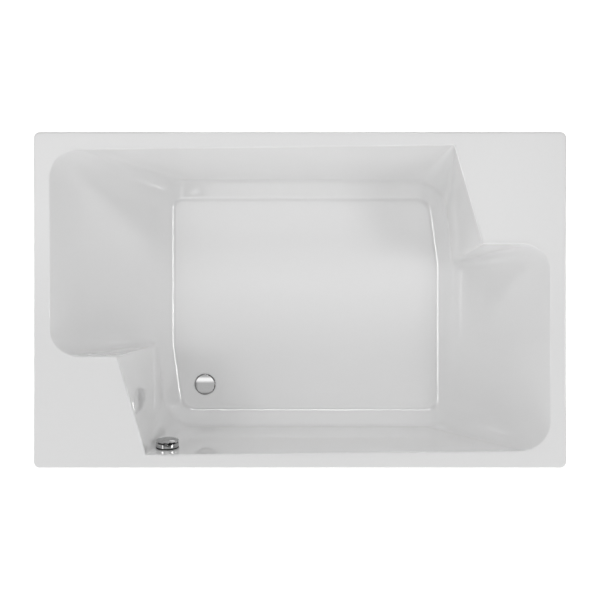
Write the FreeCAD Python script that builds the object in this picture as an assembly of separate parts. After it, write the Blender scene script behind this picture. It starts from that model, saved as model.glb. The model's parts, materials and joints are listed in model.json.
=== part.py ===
import FreeCAD, Part
import math
import os

# Two-person drop-in bathtub: an acrylic shell with a glass-fibre backing on a steel foot frame.
# Millimetres. The origin is on the ground under the middle of the rim, +X runs along the length,
# +Y to the back and +Z up. The opening in the rim is the same after half a turn about the vertical.

# Overall size
TUB_LENGTH = 1900.0
TUB_WIDTH = 1200.0
FLOOR_Z = 170.0
BASIN_DEPTH = 430.0

# Layers of the shell
ACRYLIC = 5.0
LAMINATE = 4.0

# Rim
SKIRT_DEPTH = 40.0
RIM_CORNER_RADIUS = 24.0
RIM_EDGE_RADIUS = 16.0
OPENING_EDGE_RADIUS = 7.0

# Opening in the rim: deck widths, the two backrests and the slanted walls at their feet
END_DECK = 64.0
BACKREST_DECK = 66.0
FOOT_DECK = 49.0
BACKREST_WIDTH = 733.0
NOTCH_DEPTH = 236.0
FOOT_WALL_SLANT = 101.0
BACKREST_CORNER_RADIUS = 104.0
NOTCH_VALLEY_RADIUS = 100.0
NOTCH_CORNER_RADIUS = 10.0
FOOT_CORNER_RADIUS = 8.0

# Knee, where the walls turn into the cove round the floor
KNEE_HEIGHT = 50.0
KNEE_SOFTNESS = 16.0
BACKREST_RUN = 325.0
LONG_WALL_RUN = 81.5
FOOT_WALL_RUN = 18.0
KINK_BEFORE_NOTCH = 64.0
KINK_LENGTH = 26.0
KINK_SET = 1.0
KINK_ROUND = 9.0
KNEE_BACKREST_RADIUS = 45.0
KNEE_FOOT_RADIUS = 40.0

# Floor of the basin, which lies a little off the middle of the rim
COVE_END = 51.0
COVE_SIDE = 62.5
COVE_FOOT = 58.0
FLOOR_SHIFT_X = 21.0
FLOOR_SHIFT_Y = -15.0
FLOOR_BACKREST_RADIUS = 28.0
FLOOR_FOOT_RADIUS = 50.0
FLOOR_EDGE_RADIUS = 20.0

# Panels that the shell is stored in: how far inside the floor's edges they part
PANEL_INSET_X = 49.0
PANEL_INSET_Y = 22.0

# Wooden stiffeners
BASE_BOARD = 18.0
BASE_BOARD_INSET = 14.0
BATTEN_WIDTH = 25.0
BATTEN_HEIGHT = 30.0
BATTEN_GAP = 4.0
DECK_BOARD = 18.0
DECK_BOARD_GAP = 15.0

# Foot frame
RAIL_WEB = 30.0
RAIL_FLANGE = 12.0
RAIL_HEIGHT = 40.0
RAIL_SHEET = 2.5
RAIL_INSET = 22.0
RAIL_FROM_DRAIN = 73.0
FOOT_INSET = 40.0
RAIL_SCREWS_PER_FLANGE = 4
RAIL_SCREW_INSET = 185.0
SCREW_RADIUS = 2.2
SCREW_HEAD_RADIUS = 4.5
SCREW_HEAD = 3.0
SCREW_GRIP = 13.0

# Adjustable feet
SPINDLE_RADIUS = 6.0
THREAD_FIT = 0.06
SPINDLE_FREE_TOP = 14.0
NUT_FLATS = 19.0
NUT_HEIGHT = 10.0
SPANNER_FLATS = 14.0
SPANNER_HEIGHT = 8.0
PAD_RADIUS = 30.0
PAD_TOP_RADIUS = 13.0
PAD_BASE = 7.0
PAD_HEIGHT = 22.0
SOLE = 3.0
SOLE_INSET = 2.0
SOCKET_FLOOR = 6.0

# Drain
DRAIN_FROM_END = 122.0
DRAIN_FROM_FRONT = 96.0
RECESS_RADIUS = 41.0
RECESS_DEPTH = 3.0
WASTE_HOLE_RADIUS = 26.0
SEAL = 1.5
BOTTOM_SEAL = 3.0
SEAL_LAP = 13.0
DRAIN_FLANGE_RADIUS = 40.0
DRAIN_FLANGE = 2.5
DRAIN_BORE_RADIUS = 23.0
DRAIN_TAIL_RADIUS = 25.0
DRAIN_TAIL = 30.0
GUIDE_HEIGHT = 7.0
GUIDE_RADIUS = 8.0
GUIDE_ARM = 3.5
DRAIN_BODY_WALL = 3.9
DRAIN_COLLAR_RADIUS = 42.0
DRAIN_COLLAR = 6.0
DRAIN_BODY_HEIGHT = 63.0
DRAIN_BODY_FLOOR = 5.0
DRAIN_SPIGOT = 16.0

# Plug and the lever that lifts it
CAP_RADIUS = 37.5
CAP_EDGE = 2.0
CAP_CROWN = 2.5
CAP_EDGE_RADIUS = 0.9
PLUG_SEAL_RADIUS = 30.0
PLUG_SEAL = 1.5
PLUG_SEAT_GAP = 0.3
STEM_RADIUS = 4.0
RUNNING_FIT = 0.06
LEVER_REACH = 17.0
LEVER_TIP = 15.0
LEVER_HEEL = 4.0
LEVER_HALF_THICKNESS = 2.5
LEVER_WIDTH = 8.0
LEVER_RISE = 25.0
LEVER_ANGLE = 125.0
LEVER_SWING = 28.0
LEVER_PIN_RADIUS = 2.0
LEVER_PIN_BITE = 2.4

# Overflow, set square on the front wall
OVERFLOW_FROM_CORNER = 68.0
OVERFLOW_DROP = 95.0
SEAT_GAP = 0.1
OVERFLOW_GASKET = 3.0
COLLAR_RADIUS = 36.0
COLLAR = 6.0
CHAMBER_RADIUS = 29.0
CHAMBER_WALL = 3.0
CHAMBER_DEPTH = 44.0
FACE_RADIUS = 33.0
FACE_SNAP = 3.0
FACE_LIP = 1.3
FACE_LIP_DEPTH = 5.0
ROSETTE_SEAL = 4.0
ROSETTE_DEPTH = 15.5
ROSETTE_WALL = 4.0
ROSETTE_EDGE_RADIUS = 1.8
ROSETTE_FIT = 0.2
ROSETTE_WEBS = 6
WEB_WIDTH = 9.0
WEB_GAP = 0.4
FACE_BUSH_RADIUS = 11.0
FACE_BUSH = 5.0
INLET_COUNT = 6
INLET_RADIUS = 3.6
INLET_CIRCLE = 16.5
FACE_SCREW_OFFSET = 21.0
FACE_SCREW_RADIUS = 2.5
FACE_SCREW_HEAD_RADIUS = 4.4
FACE_SCREW_HEAD = 2.4
FACE_SCREW_LENGTH = 34.0
LUG_RADIUS = 6.0
LUG_LENGTH = 17.0

# Knob and its spindle
KNOB_RADIUS = 41.5
KNOB_WATER_GAP = 6.0
KNOB_SIDE = 9.0
KNOB_CROWN = 6.5
KNOB_EDGE_RADIUS = 1.8
KNOB_SKIN = 2.0
HUB_RADIUS = 9.0
HUB_GAP = 1.0
KNOB_SPINDLE_RADIUS = 5.0
CRANK_RADIUS = 14.0
CRANK = 6.0
CRANK_BACK_GAP = 9.0

# Overflow pipe, nuts and cable
PIPE_RADIUS = 16.0
PIPE_WALL = 2.0
PIPE_FIT = 0.2
PIPE_INSERT = 24.0
SPIGOT_RADIUS = 20.0
SPIGOT_LENGTH = 36.0
PIPE_BEND_RADIUS = 62.0
INLET_RISE = 22.0
UNION_RADIUS = 25.0
UNION_LENGTH = 22.0
UNION_LAP = 14.0
UNION_FIT = 0.15
UNION_RIBS = 12
UNION_RIB = 1.2
CABLE_RADIUS = 3.0
GLAND_RADIUS = 6.0
GLAND_LENGTH = 26.0
CABLE_PORT_ANGLE = 305.0
CABLE_PORT_RISE = 32.0
CABLE_PORT_REACH = 38.0
CABLE_LEAD_IN = 62.0
CABLE_FALL = 250.0
CABLE_BEND_SHARE = 0.45

# Trap
TRAP_RADIUS = 20.0
TRAP_WALL = 2.0
TRAP_BEND_RADIUS = 38.0
TRAP_LEAD = 8.0
TRAP_SEAL = 50.0
TRAP_OUTLET_LEAD = 34.0
TRAP_NUT_RADIUS = 25.0
OUTLET_LENGTH = 107.0
STOP_BEAD = 3.0
STOP_BEAD_RISE = 2.0

# Heights that follow from the sizes above
RIM_HEIGHT = FLOOR_Z + BASIN_DEPTH
KNEE_Z = FLOOR_Z + KNEE_HEIGHT
BACKING = ACRYLIC + LAMINATE
DECK_UNDERSIDE_Z = RIM_HEIGHT - BACKING
WALL_TOP_Z = RIM_HEIGHT - OPENING_EDGE_RADIUS
BOARD_TOP_Z = FLOOR_Z - BACKING
RAIL_TOP_Z = BOARD_TOP_Z - BASE_BOARD
RAIL_WEB_Z = RAIL_TOP_Z - RAIL_HEIGHT
RECESS_Z = FLOOR_Z - RECESS_DEPTH
DRAIN_FLANGE_Z = RECESS_Z + SEAL
CAP_Z = DRAIN_FLANGE_Z + DRAIN_FLANGE + PLUG_SEAT_GAP + PLUG_SEAL
COLLAR_TOP_Z = RECESS_Z - BACKING - BOTTOM_SEAL
DRAIN_BODY_Z = COLLAR_TOP_Z - DRAIN_BODY_HEIGHT
DRAIN_CUP_RADIUS = DRAIN_TAIL_RADIUS + RUNNING_FIT
LEVER_Z = DRAIN_BODY_Z + LEVER_RISE
CABLE_PORT_Z = DRAIN_BODY_Z + CABLE_PORT_RISE
INLET_Z = DRAIN_BODY_Z + INLET_RISE
TRAP_TOP_Z = DRAIN_BODY_Z - DRAIN_SPIGOT
TRAP_DIP_Z = TRAP_TOP_Z - TRAP_LEAD - TRAP_BEND_RADIUS
OUTLET_Z = TRAP_DIP_Z + TRAP_SEAL + 2 * (TRAP_RADIUS - TRAP_WALL)

TINY = 1.0
LIP_STEPS = 3
LEAST_SETBACK = 0.5
FLAT = 0.01
UP = FreeCAD.Vector(0, 0, 1)
MADE = []


def vec(x, y, z=0.0):
    return FreeCAD.Vector(x, y, z)


def save(name, shape):
    """Writes one piece, after a test that it is sound."""
    solids = shape.Solids
    if not shape.isValid() or not solids:
        raise ValueError(name + " is not a sound solid")
    piece = solids[0] if len(solids) == 1 else Part.makeCompound(solids)
    piece.exportStep("parts/" + name + ".step")
    MADE.append((name, len(solids), piece.Volume))


def box(x0, x1, y0, y1, z0, z1):
    return Part.makeBox(x1 - x0, y1 - y0, z1 - z0, vec(x0, y0, z0))


def rod(radius, start, end):
    """Cylinder between two points."""
    along = end - start
    return Part.makeCylinder(radius, along.Length, start, along)


def post(radius, z0, z1, x=0.0, y=0.0):
    """Upright cylinder."""
    return rod(radius, vec(x, y, z0), vec(x, y, z1))


def ring(outer, inner, z0, z1, x=0.0, y=0.0):
    """Upright ring; its bore runs past both faces so that the cut is clean."""
    return post(outer, z0, z1, x, y).cut(post(inner, z0 - TINY, z1 + TINY, x, y))


def hexagon(flats, z0, z1, x=0.0, y=0.0):
    """Upright hexagonal prism, measured across its flats."""
    reach = flats / 2 / math.cos(math.pi / 6)
    turns = [math.pi * k / 3 for k in range(7)]
    points = [vec(x + reach * math.cos(a), y + reach * math.sin(a), z0) for a in turns]
    return Part.Face(Part.makePolygon(points)).extrude(vec(0, 0, z1 - z0))


def turn_at(corners, i):
    """Headings before and after a corner of a closed outline, and the angle between them."""
    points = [vec(*corner) for corner in corners]
    before = (points[i] - points[i - 1]).normalize()
    after = (points[(i + 1) % len(points)] - points[i]).normalize()
    return before, after, before.getAngle(after)


def tub_outline(corners, setbacks, z):
    """Closed wire of straight sides; each corner is round and starts one setback before it."""
    bends = []
    for i in range(len(corners)):
        before, after, turn = turn_at(corners, i)
        corner = vec(*corners[i], z)
        handle = setbacks[i] * (1 - math.tan(turn / 4) ** 2) * 2 / 3
        entry = corner - before * setbacks[i]
        leave = corner + after * setbacks[i]
        bends.append([entry, entry + before * handle, leave - after * handle, leave])
    edges = []
    for i in range(len(bends)):
        curve = Part.BezierCurve()
        curve.setPoles(bends[i])
        edges.append(curve.toShape())
        edges.append(Part.LineSegment(bends[i][3], bends[(i + 1) % len(bends)][0]).toShape())
    return Part.Wire(edges)


def bent_path(points, radius):
    """Straight runs joined by tangent arcs of one radius, or one radius per corner."""
    corners = len(points) - 2
    radii = radius if isinstance(radius, list) else [radius] * corners
    edges = []
    start = points[0]
    for i in range(1, len(points) - 1):
        before = (points[i] - points[i - 1]).normalize()
        after = (points[i + 1] - points[i]).normalize()
        half_turn = before.getAngle(after) / 2
        tangent = radii[i - 1] * math.tan(half_turn)
        inward = (after - before).normalize()
        middle = points[i] + inward * (radii[i - 1] / math.cos(half_turn) - radii[i - 1])
        entry = points[i] - before * tangent
        leave = points[i] + after * tangent
        edges.append(Part.LineSegment(start, entry).toShape())
        edges.append(Part.Arc(entry, middle, leave).toShape())
        start = leave
    edges.append(Part.LineSegment(start, points[-1]).toShape())
    return Part.Wire(edges)


def swept_rod(path, radius):
    """Round bar along a path of runs and arcs."""
    first = path.OrderedEdges[0]
    start = first.valueAt(first.FirstParameter)
    heading = first.tangentAt(first.FirstParameter)
    profile = Part.Wire(Part.Circle(start, heading, radius).toShape())
    return path.makePipeShell([profile], True, False)


def half_turned(corners):
    return corners + [(-x, -y) for x, y in corners]


def setback(corners, i, radius):
    """Distance from a corner at which a round of that radius starts."""
    return radius * math.tan(turn_at(corners, i)[2] / 2)


def level(corners, setbacks, z, share):
    """One level of the basin: corners, setbacks, height; share of the floor's sideways shift."""
    moved = [(x + FLOOR_SHIFT_X * share, y + FLOOR_SHIFT_Y * share) for x, y in half_turned(corners)]
    return moved, setbacks * 2, z


def between(a, b, share):
    """Level of the basin that lies part of the way from one level to another."""
    corners = [(p[0] + (q[0] - p[0]) * share, p[1] + (q[1] - p[1]) * share) for p, q in zip(a[0], b[0])]
    setbacks = [p + (q - p) * share for p, q in zip(a[1], b[1])]
    return corners, setbacks, a[2] + (b[2] - a[2]) * share


def grown(flat, distance, drop):
    """The level moved outwards by a distance and down by a drop."""
    corners, setbacks, z = flat
    out_corners = []
    out_setbacks = []
    for i in range(len(corners)):
        before, after, turn = turn_at(corners, i)
        out_before = vec(before.y, -before.x)
        out_after = vec(after.y, -after.x)
        moved = vec(*corners[i]) + (out_before + out_after) * (distance / (1 + out_before.dot(out_after)))
        side = 1 if before.cross(after).z > 0 else -1
        out_corners.append((moved.x, moved.y))
        out_setbacks.append(max(setbacks[i] + side * distance * math.tan(turn / 2), LEAST_SETBACK))
    return out_corners, out_setbacks, z - drop


# Corners of the basin at the rim, the knee and the floor, for one half of it
HALF_OPENING = TUB_LENGTH / 2 - END_DECK
RIM_CORNERS = [
    (HALF_OPENING, BACKREST_DECK - TUB_WIDTH / 2),
    (HALF_OPENING, BACKREST_DECK - TUB_WIDTH / 2 + BACKREST_WIDTH),
    (HALF_OPENING - NOTCH_DEPTH, BACKREST_DECK - TUB_WIDTH / 2 + BACKREST_WIDTH),
    (HALF_OPENING - NOTCH_DEPTH - FOOT_WALL_SLANT, TUB_WIDTH / 2 - FOOT_DECK),
]
KNEE_X = HALF_OPENING - BACKREST_RUN
KNEE_Y = RIM_CORNERS[3][1] - LONG_WALL_RUN
KINK_Y = RIM_CORNERS[2][1] - KINK_BEFORE_NOTCH
KNEE_CORNERS = [
    (KNEE_X, -KNEE_Y),
    (KNEE_X, KINK_Y),
    (KNEE_X - KINK_SET, KINK_Y + KINK_LENGTH),
    (RIM_CORNERS[3][0] - FOOT_WALL_RUN, KNEE_Y),
]
FLOOR_CORNERS = [
    (KNEE_X - COVE_END, COVE_SIDE - KNEE_Y),
    (KNEE_X - COVE_END, KINK_Y),
    (KNEE_X - COVE_END - KINK_SET, KINK_Y + KINK_LENGTH),
    (KNEE_CORNERS[3][0] - COVE_FOOT, KNEE_Y - COVE_SIDE),
]
RIM_RADII = [BACKREST_CORNER_RADIUS, NOTCH_VALLEY_RADIUS, NOTCH_CORNER_RADIUS, FOOT_CORNER_RADIUS]
RIM_SETBACKS = [setback(half_turned(RIM_CORNERS), i, RIM_RADII[i]) for i in range(4)]
KNEE_SETBACKS = [setback(half_turned(KNEE_CORNERS), 0, KNEE_BACKREST_RADIUS), KINK_ROUND, KINK_ROUND,
                 setback(half_turned(KNEE_CORNERS), 3, KNEE_FOOT_RADIUS)]
FLOOR_SETBACKS = [setback(half_turned(FLOOR_CORNERS), 0, FLOOR_BACKREST_RADIUS), KINK_ROUND, KINK_ROUND,
                  setback(half_turned(FLOOR_CORNERS), 3, FLOOR_FOOT_RADIUS)]
RIM_LEVEL = level(RIM_CORNERS, RIM_SETBACKS, WALL_TOP_Z, 0.0)
KNEE_LEVEL = level(KNEE_CORNERS, KNEE_SETBACKS, KNEE_Z, (BASIN_DEPTH - KNEE_HEIGHT) / BASIN_DEPTH)
FLOOR_LEVEL = level(FLOOR_CORNERS, FLOOR_SETBACKS, FLOOR_Z, 1.0)

# Places that follow the floor and the rim
FLOOR_WIDTH = 2 * FLOOR_CORNERS[3][1]
DRAIN_X = FLOOR_SHIFT_X - FLOOR_CORNERS[0][0] + DRAIN_FROM_END
DRAIN_Y = FLOOR_SHIFT_Y - FLOOR_WIDTH / 2 + DRAIN_FROM_FRONT
OVERFLOW_X = OVERFLOW_FROM_CORNER - RIM_CORNERS[3][0]
RAIL_LENGTH = FLOOR_WIDTH - 2 * RAIL_INSET
FOOT_SPACING = RAIL_LENGTH - 2 * FOOT_INSET
RAIL_SCREW_SPACING = (RAIL_LENGTH - 2 * RAIL_SCREW_INSET) / (RAIL_SCREWS_PER_FLANGE - 1)


def wall_levels(distance):
    """Levels of the basin from the top of its walls down, out to a layer."""
    above = between(KNEE_LEVEL, RIM_LEVEL, KNEE_SOFTNESS / (WALL_TOP_Z - KNEE_Z))
    below = between(KNEE_LEVEL, FLOOR_LEVEL, KNEE_SOFTNESS / KNEE_HEIGHT)
    soft = between(between(above, below, 0.5), KNEE_LEVEL, 0.5)
    return [grown(flat, distance, distance) for flat in (RIM_LEVEL, above, soft, below, FLOOR_LEVEL)]


def lofted(levels, floor_radius):
    """Ruled solid through the levels, with its lowest edge rounded."""
    solid = Part.makeLoft([tub_outline(*flat) for flat in levels], True, True)
    floor_z = levels[-1][2]
    low = [e for e in solid.Edges if max(abs(v.Z - floor_z) for v in e.Vertexes) < FLAT]
    return solid.makeFillet(floor_radius, low)


def basin_outside(distance, top):
    """Solid out to a layer behind the walls, with a straight neck up to a height."""
    levels = wall_levels(distance)
    neck = (levels[0][0], levels[0][1], top)
    return lofted([neck] + levels, FLOOR_EDGE_RADIUS + distance)


def basin_inside():
    """Space inside the basin, flared at the top so that the edge of the opening is round."""
    lip = []
    for step in range(LIP_STEPS):
        turn = math.pi / 2 * step / LIP_STEPS
        flare = OPENING_EDGE_RADIUS * (1 - math.sin(turn))
        drop = OPENING_EDGE_RADIUS * (1 - math.cos(turn))
        corners, radii, z = grown(RIM_LEVEL, flare, 0.0)
        lip.append((corners, radii, RIM_HEIGHT - drop))
    neck = (lip[0][0], lip[0][1], RIM_HEIGHT + ACRYLIC)
    return lofted([neck] + lip + wall_levels(0.0), FLOOR_EDGE_RADIUS)


def rim_block(inset, bottom):
    """Rectangular block with the rim's rounded corners and top edge, drawn in by a wall."""
    block = box(inset - TUB_LENGTH / 2, TUB_LENGTH / 2 - inset, inset - TUB_WIDTH / 2,
                TUB_WIDTH / 2 - inset, bottom, RIM_HEIGHT - inset)
    upright = [e for e in block.Edges if abs(e.tangentAt(e.FirstParameter).z) > 0.5]
    block = block.makeFillet(RIM_CORNER_RADIUS - inset, upright)
    top = [e for e in block.Edges if min(v.Z for v in e.Vertexes) > RIM_HEIGHT - inset - TINY / 2]
    return block.makeFillet(RIM_EDGE_RADIUS - inset, top)


def front_wall(x, z):
    """Point of the front wall's inside at a place along it and a height, and its inward normal."""
    share = (WALL_TOP_Z - z) / (WALL_TOP_Z - KNEE_Z)
    ends = []
    for corner in (7, 0):
        high = vec(*RIM_LEVEL[0][corner], WALL_TOP_Z)
        low = vec(*KNEE_LEVEL[0][corner], KNEE_Z)
        ends.append(high + (low - high) * share)
    along = ends[1] - ends[0]
    point = ends[0] + along * ((x - ends[0].x) / along.x)
    rim_run = vec(*RIM_LEVEL[0][0], WALL_TOP_Z) - vec(*RIM_LEVEL[0][7], WALL_TOP_Z)
    knee_run = vec(*KNEE_LEVEL[0][0], KNEE_Z) - vec(*KNEE_LEVEL[0][7], KNEE_Z)
    place = (point - ends[0]).Length / along.Length
    top = vec(*RIM_LEVEL[0][7], WALL_TOP_Z) + rim_run * place
    foot = vec(*KNEE_LEVEL[0][7], KNEE_Z) + knee_run * place
    return point, along.cross(top - foot).normalize() * -1


# The overflow's own frame: z along the wall's inward normal, y up the wall
OVERFLOW_POINT, OVERFLOW_AXIS = front_wall(OVERFLOW_X, RIM_HEIGHT - OVERFLOW_DROP)
OVERFLOW_ACROSS = UP.cross(OVERFLOW_AXIS).normalize()
OVERFLOW_UP = OVERFLOW_AXIS.cross(OVERFLOW_ACROSS)
OVERFLOW_FRAME = FreeCAD.Placement(
    OVERFLOW_POINT, FreeCAD.Rotation(OVERFLOW_ACROSS, OVERFLOW_UP, OVERFLOW_AXIS, "ZXY"))
WALL = BACKING * (math.hypot(OVERFLOW_AXIS.x, OVERFLOW_AXIS.y) + OVERFLOW_AXIS.z)
COLLAR_FRONT = -WALL - SEAT_GAP - OVERFLOW_GASKET
CHAMBER_BACK = COLLAR_FRONT - CHAMBER_DEPTH
CHAMBER_MIDDLE = OVERFLOW_POINT + OVERFLOW_AXIS * (COLLAR_FRONT - CHAMBER_DEPTH / 2)
SPIGOT_END_Z = CHAMBER_MIDDLE.z - CHAMBER_RADIUS - SPIGOT_LENGTH
ROSETTE_BACK = SEAT_GAP + ROSETTE_SEAL
FACE = ROSETTE_BACK + FACE_SNAP
ROSETTE_FRONT = ROSETTE_BACK + ROSETTE_DEPTH
KNOB_BACK = ROSETTE_FRONT + KNOB_WATER_GAP
KNOB_FACE = KNOB_BACK + KNOB_SIDE


def at_overflow(shape):
    """Moves a piece that was made upright at the origin onto the front wall."""
    shape.Placement = OVERFLOW_FRAME
    return shape


def heading(degrees):
    return vec(math.cos(math.radians(degrees)), math.sin(math.radians(degrees)))


def drain_point(z):
    return vec(DRAIN_X, DRAIN_Y, z)


# Heading from the drain to the foot of the overflow pipe
PIPE_RUN = vec(CHAMBER_MIDDLE.x - DRAIN_X, CHAMBER_MIDDLE.y - DRAIN_Y)
PIPE_HEADING = vec(PIPE_RUN.x, PIPE_RUN.y).normalize()
INLET_REACH = DRAIN_CUP_RADIUS + DRAIN_BODY_WALL + SPIGOT_LENGTH


def drain_boss(layer):
    """Drawn-down seat under the drain, out to a layer."""
    return post(RECESS_RADIUS + layer, RECESS_Z - layer, FLOOR_Z, DRAIN_X, DRAIN_Y)


def overflow_hole():
    return at_overflow(post(WASTE_HOLE_RADIUS, -WALL - OVERFLOW_GASKET, OVERFLOW_GASKET))


def waste_hole():
    return post(WASTE_HOLE_RADIUS, RECESS_Z - 2 * BACKING, FLOOR_Z + TINY, DRAIN_X, DRAIN_Y)


def in_panels(sheet):
    """The sheet as touching panels: the floor, its four sides and the four corners."""
    half_x = FLOOR_CORNERS[0][0] - PANEL_INSET_X
    half_y = FLOOR_WIDTH / 2 - PANEL_INSET_Y
    xs = [-TUB_LENGTH, FLOOR_SHIFT_X - half_x, FLOOR_SHIFT_X + half_x, TUB_LENGTH]
    ys = [-TUB_WIDTH, FLOOR_SHIFT_Y - half_y, FLOOR_SHIFT_Y + half_y, TUB_WIDTH]
    panels = []
    for x0, x1 in zip(xs, xs[1:]):
        for y0, y1 in zip(ys, ys[1:]):
            panels += sheet.common(box(x0, x1, y0, y1, 0.0, 2 * RIM_HEIGHT)).Solids
    return Part.makeCompound(panels)


def tub_shell():
    """Rim with its turned-down skirt, walls and floor, drawn from one sheet and stored in panels."""
    rim = rim_block(0.0, RIM_HEIGHT - SKIRT_DEPTH)
    rim = rim.cut(rim_block(ACRYLIC, RIM_HEIGHT - SKIRT_DEPTH - TINY))
    sheet = rim.fuse(basin_outside(ACRYLIC, RIM_HEIGHT - ACRYLIC / 2))
    sheet = sheet.fuse(drain_boss(ACRYLIC)).cut(basin_inside())
    sheet = sheet.cut(post(RECESS_RADIUS, RECESS_Z, FLOOR_Z + ACRYLIC, DRAIN_X, DRAIN_Y))
    return in_panels(sheet.cut(waste_hole()).cut(overflow_hole()).removeSplitter())


def glass_fibre_backing():
    """Sprayed layer behind the walls, under the floor and under the deck."""
    edge = RIM_EDGE_RADIUS + ACRYLIC
    top = RIM_HEIGHT - ACRYLIC
    under_deck = box(edge - TUB_LENGTH / 2, TUB_LENGTH / 2 - edge, edge - TUB_WIDTH / 2,
                     TUB_WIDTH / 2 - edge, DECK_UNDERSIDE_Z, top)
    layer = under_deck.fuse(basin_outside(BACKING, top)).fuse(drain_boss(BACKING))
    shell = basin_outside(ACRYLIC, RIM_HEIGHT).fuse(drain_boss(ACRYLIC))
    return layer.cut(shell).cut(waste_hole()).cut(overflow_hole()).removeSplitter()


def base_board():
    """Board glued under the floor, with room for the drain and pilot holes for the rail screws."""
    flat = grown(FLOOR_LEVEL, -BASE_BOARD_INSET, 0.0)
    face = Part.Face(tub_outline(flat[0], flat[1], BOARD_TOP_Z))
    board = face.extrude(vec(0, 0, -BASE_BOARD))
    room = RECESS_RADIUS + BACKING + BOTTOM_SEAL
    board = board.cut(post(room, RAIL_TOP_Z - TINY, BOARD_TOP_Z + TINY, DRAIN_X, DRAIN_Y))
    for x, y in rail_screw_places():
        board = board.cut(post(SCREW_RADIUS + THREAD_FIT, RAIL_TOP_Z - TINY, RAIL_TOP_Z + SCREW_GRIP, x, y))
    return board


def rim_battens():
    """Four strips behind the skirt, under the deck."""
    out_x = TUB_LENGTH / 2 - ACRYLIC - BATTEN_GAP
    out_y = TUB_WIDTH / 2 - ACRYLIC - BATTEN_GAP
    end = out_x - RIM_CORNER_RADIUS
    bottom = DECK_UNDERSIDE_Z - BATTEN_HEIGHT
    side = out_y - BATTEN_WIDTH - BATTEN_GAP
    front = box(-end, end, -out_y, BATTEN_WIDTH - out_y, bottom, DECK_UNDERSIDE_Z)
    back = box(-end, end, out_y - BATTEN_WIDTH, out_y, bottom, DECK_UNDERSIDE_Z)
    left = box(-out_x, BATTEN_WIDTH - out_x, -side, side, bottom, DECK_UNDERSIDE_Z)
    right = box(out_x - BATTEN_WIDTH, out_x, -side, side, bottom, DECK_UNDERSIDE_Z)
    return {"front_rim_batten": front, "back_rim_batten": back,
            "left_rim_batten": left, "right_rim_batten": right}


def deck_boards():
    """Board under each wide corner of the deck, where a tap can stand."""
    out_x = TUB_LENGTH / 2 - ACRYLIC - 2 * BATTEN_GAP - BATTEN_WIDTH
    out_y = TUB_WIDTH / 2 - ACRYLIC - 2 * BATTEN_GAP - BATTEN_WIDTH
    in_x = RIM_CORNERS[2][0] + BACKING + DECK_BOARD_GAP
    in_y = RIM_CORNERS[2][1] + BACKING + DECK_BOARD_GAP
    bottom = DECK_UNDERSIDE_Z - DECK_BOARD
    left = box(-out_x, -in_x, -out_y, -in_y, bottom, DECK_UNDERSIDE_Z)
    right = box(in_x, out_x, in_y, out_y, bottom, DECK_UNDERSIDE_Z)
    return {"left_deck_board": left, "right_deck_board": right}


def rail_places():
    """Middle of each rail: the left one beside the drain, the others spread evenly."""
    left = DRAIN_X - RAIL_FROM_DRAIN
    return [left, FLOOR_SHIFT_X, 2 * FLOOR_SHIFT_X - left]


def rail_screw_places():
    places = []
    offset = (RAIL_WEB + RAIL_FLANGE) / 2
    first = -RAIL_SCREW_SPACING * (RAIL_SCREWS_PER_FLANGE - 1) / 2
    for x in rail_places():
        for side in (-offset, offset):
            for k in range(RAIL_SCREWS_PER_FLANGE):
                places.append((x + side, FLOOR_SHIFT_Y + first + RAIL_SCREW_SPACING * k))
    return places


def foot_places():
    return [(x, FLOOR_SHIFT_Y + side * FOOT_SPACING / 2) for x in rail_places() for side in (-1, 1)]


def rail(x):
    """Hat-section steel rail across the tub, its flanges against the base board."""
    y0 = FLOOR_SHIFT_Y - RAIL_LENGTH / 2
    y1 = FLOOR_SHIFT_Y + RAIL_LENGTH / 2
    half = RAIL_WEB / 2
    wide = half + RAIL_FLANGE
    hat = box(x - half, x + half, y0, y1, RAIL_WEB_Z, RAIL_TOP_Z)
    hollow = box(x - half + RAIL_SHEET, x + half - RAIL_SHEET, y0 - TINY, y1 + TINY,
                 RAIL_WEB_Z + RAIL_SHEET, RAIL_TOP_Z + TINY)
    flanges = box(x - wide, x + wide, y0, y1, RAIL_TOP_Z - RAIL_SHEET, RAIL_TOP_Z)
    hat = hat.fuse(flanges).cut(hollow).removeSplitter()
    for px, py in foot_places():
        room = SPINDLE_RADIUS + RAIL_SHEET
        hat = hat.cut(post(room, RAIL_WEB_Z - TINY, RAIL_WEB_Z + 2 * RAIL_SHEET, px, py))
    for px, py in rail_screw_places():
        hat = hat.cut(post(SCREW_RADIUS + THREAD_FIT, RAIL_TOP_Z - 2 * RAIL_SHEET, RAIL_TOP_Z + TINY, px, py))
    return hat


def rail_screws():
    screws = []
    seat = RAIL_TOP_Z - RAIL_SHEET
    for x, y in rail_screw_places():
        head = post(SCREW_HEAD_RADIUS, seat - SCREW_HEAD, seat, x, y)
        head = head.makeFillet(SCREW_HEAD / 2, [e for e in head.Edges if e.BoundBox.ZMax < seat - TINY])
        screws.append(head.fuse(post(SCREW_RADIUS, seat, RAIL_TOP_Z + SCREW_GRIP - TINY, x, y)))
    return Part.makeCompound(screws)


def nuts(top):
    """One hexagon nut on each spindle, below a height."""
    bore = SPINDLE_RADIUS + THREAD_FIT
    made = []
    for x, y in foot_places():
        nut = hexagon(NUT_FLATS, top - NUT_HEIGHT, top, x, y)
        made.append(nut.cut(post(bore, top - NUT_HEIGHT - TINY, top + TINY, x, y)))
    return Part.makeCompound(made)


def foot_spindle(x, y):
    """Threaded spindle with a spanner hexagon above the pad."""
    pad_top = SOLE + PAD_HEIGHT
    bar = post(SPINDLE_RADIUS, SOLE + SOCKET_FLOOR, RAIL_TOP_Z - SPINDLE_FREE_TOP, x, y)
    return bar.fuse(hexagon(SPANNER_FLATS, pad_top, pad_top + SPANNER_HEIGHT, x, y))


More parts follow.
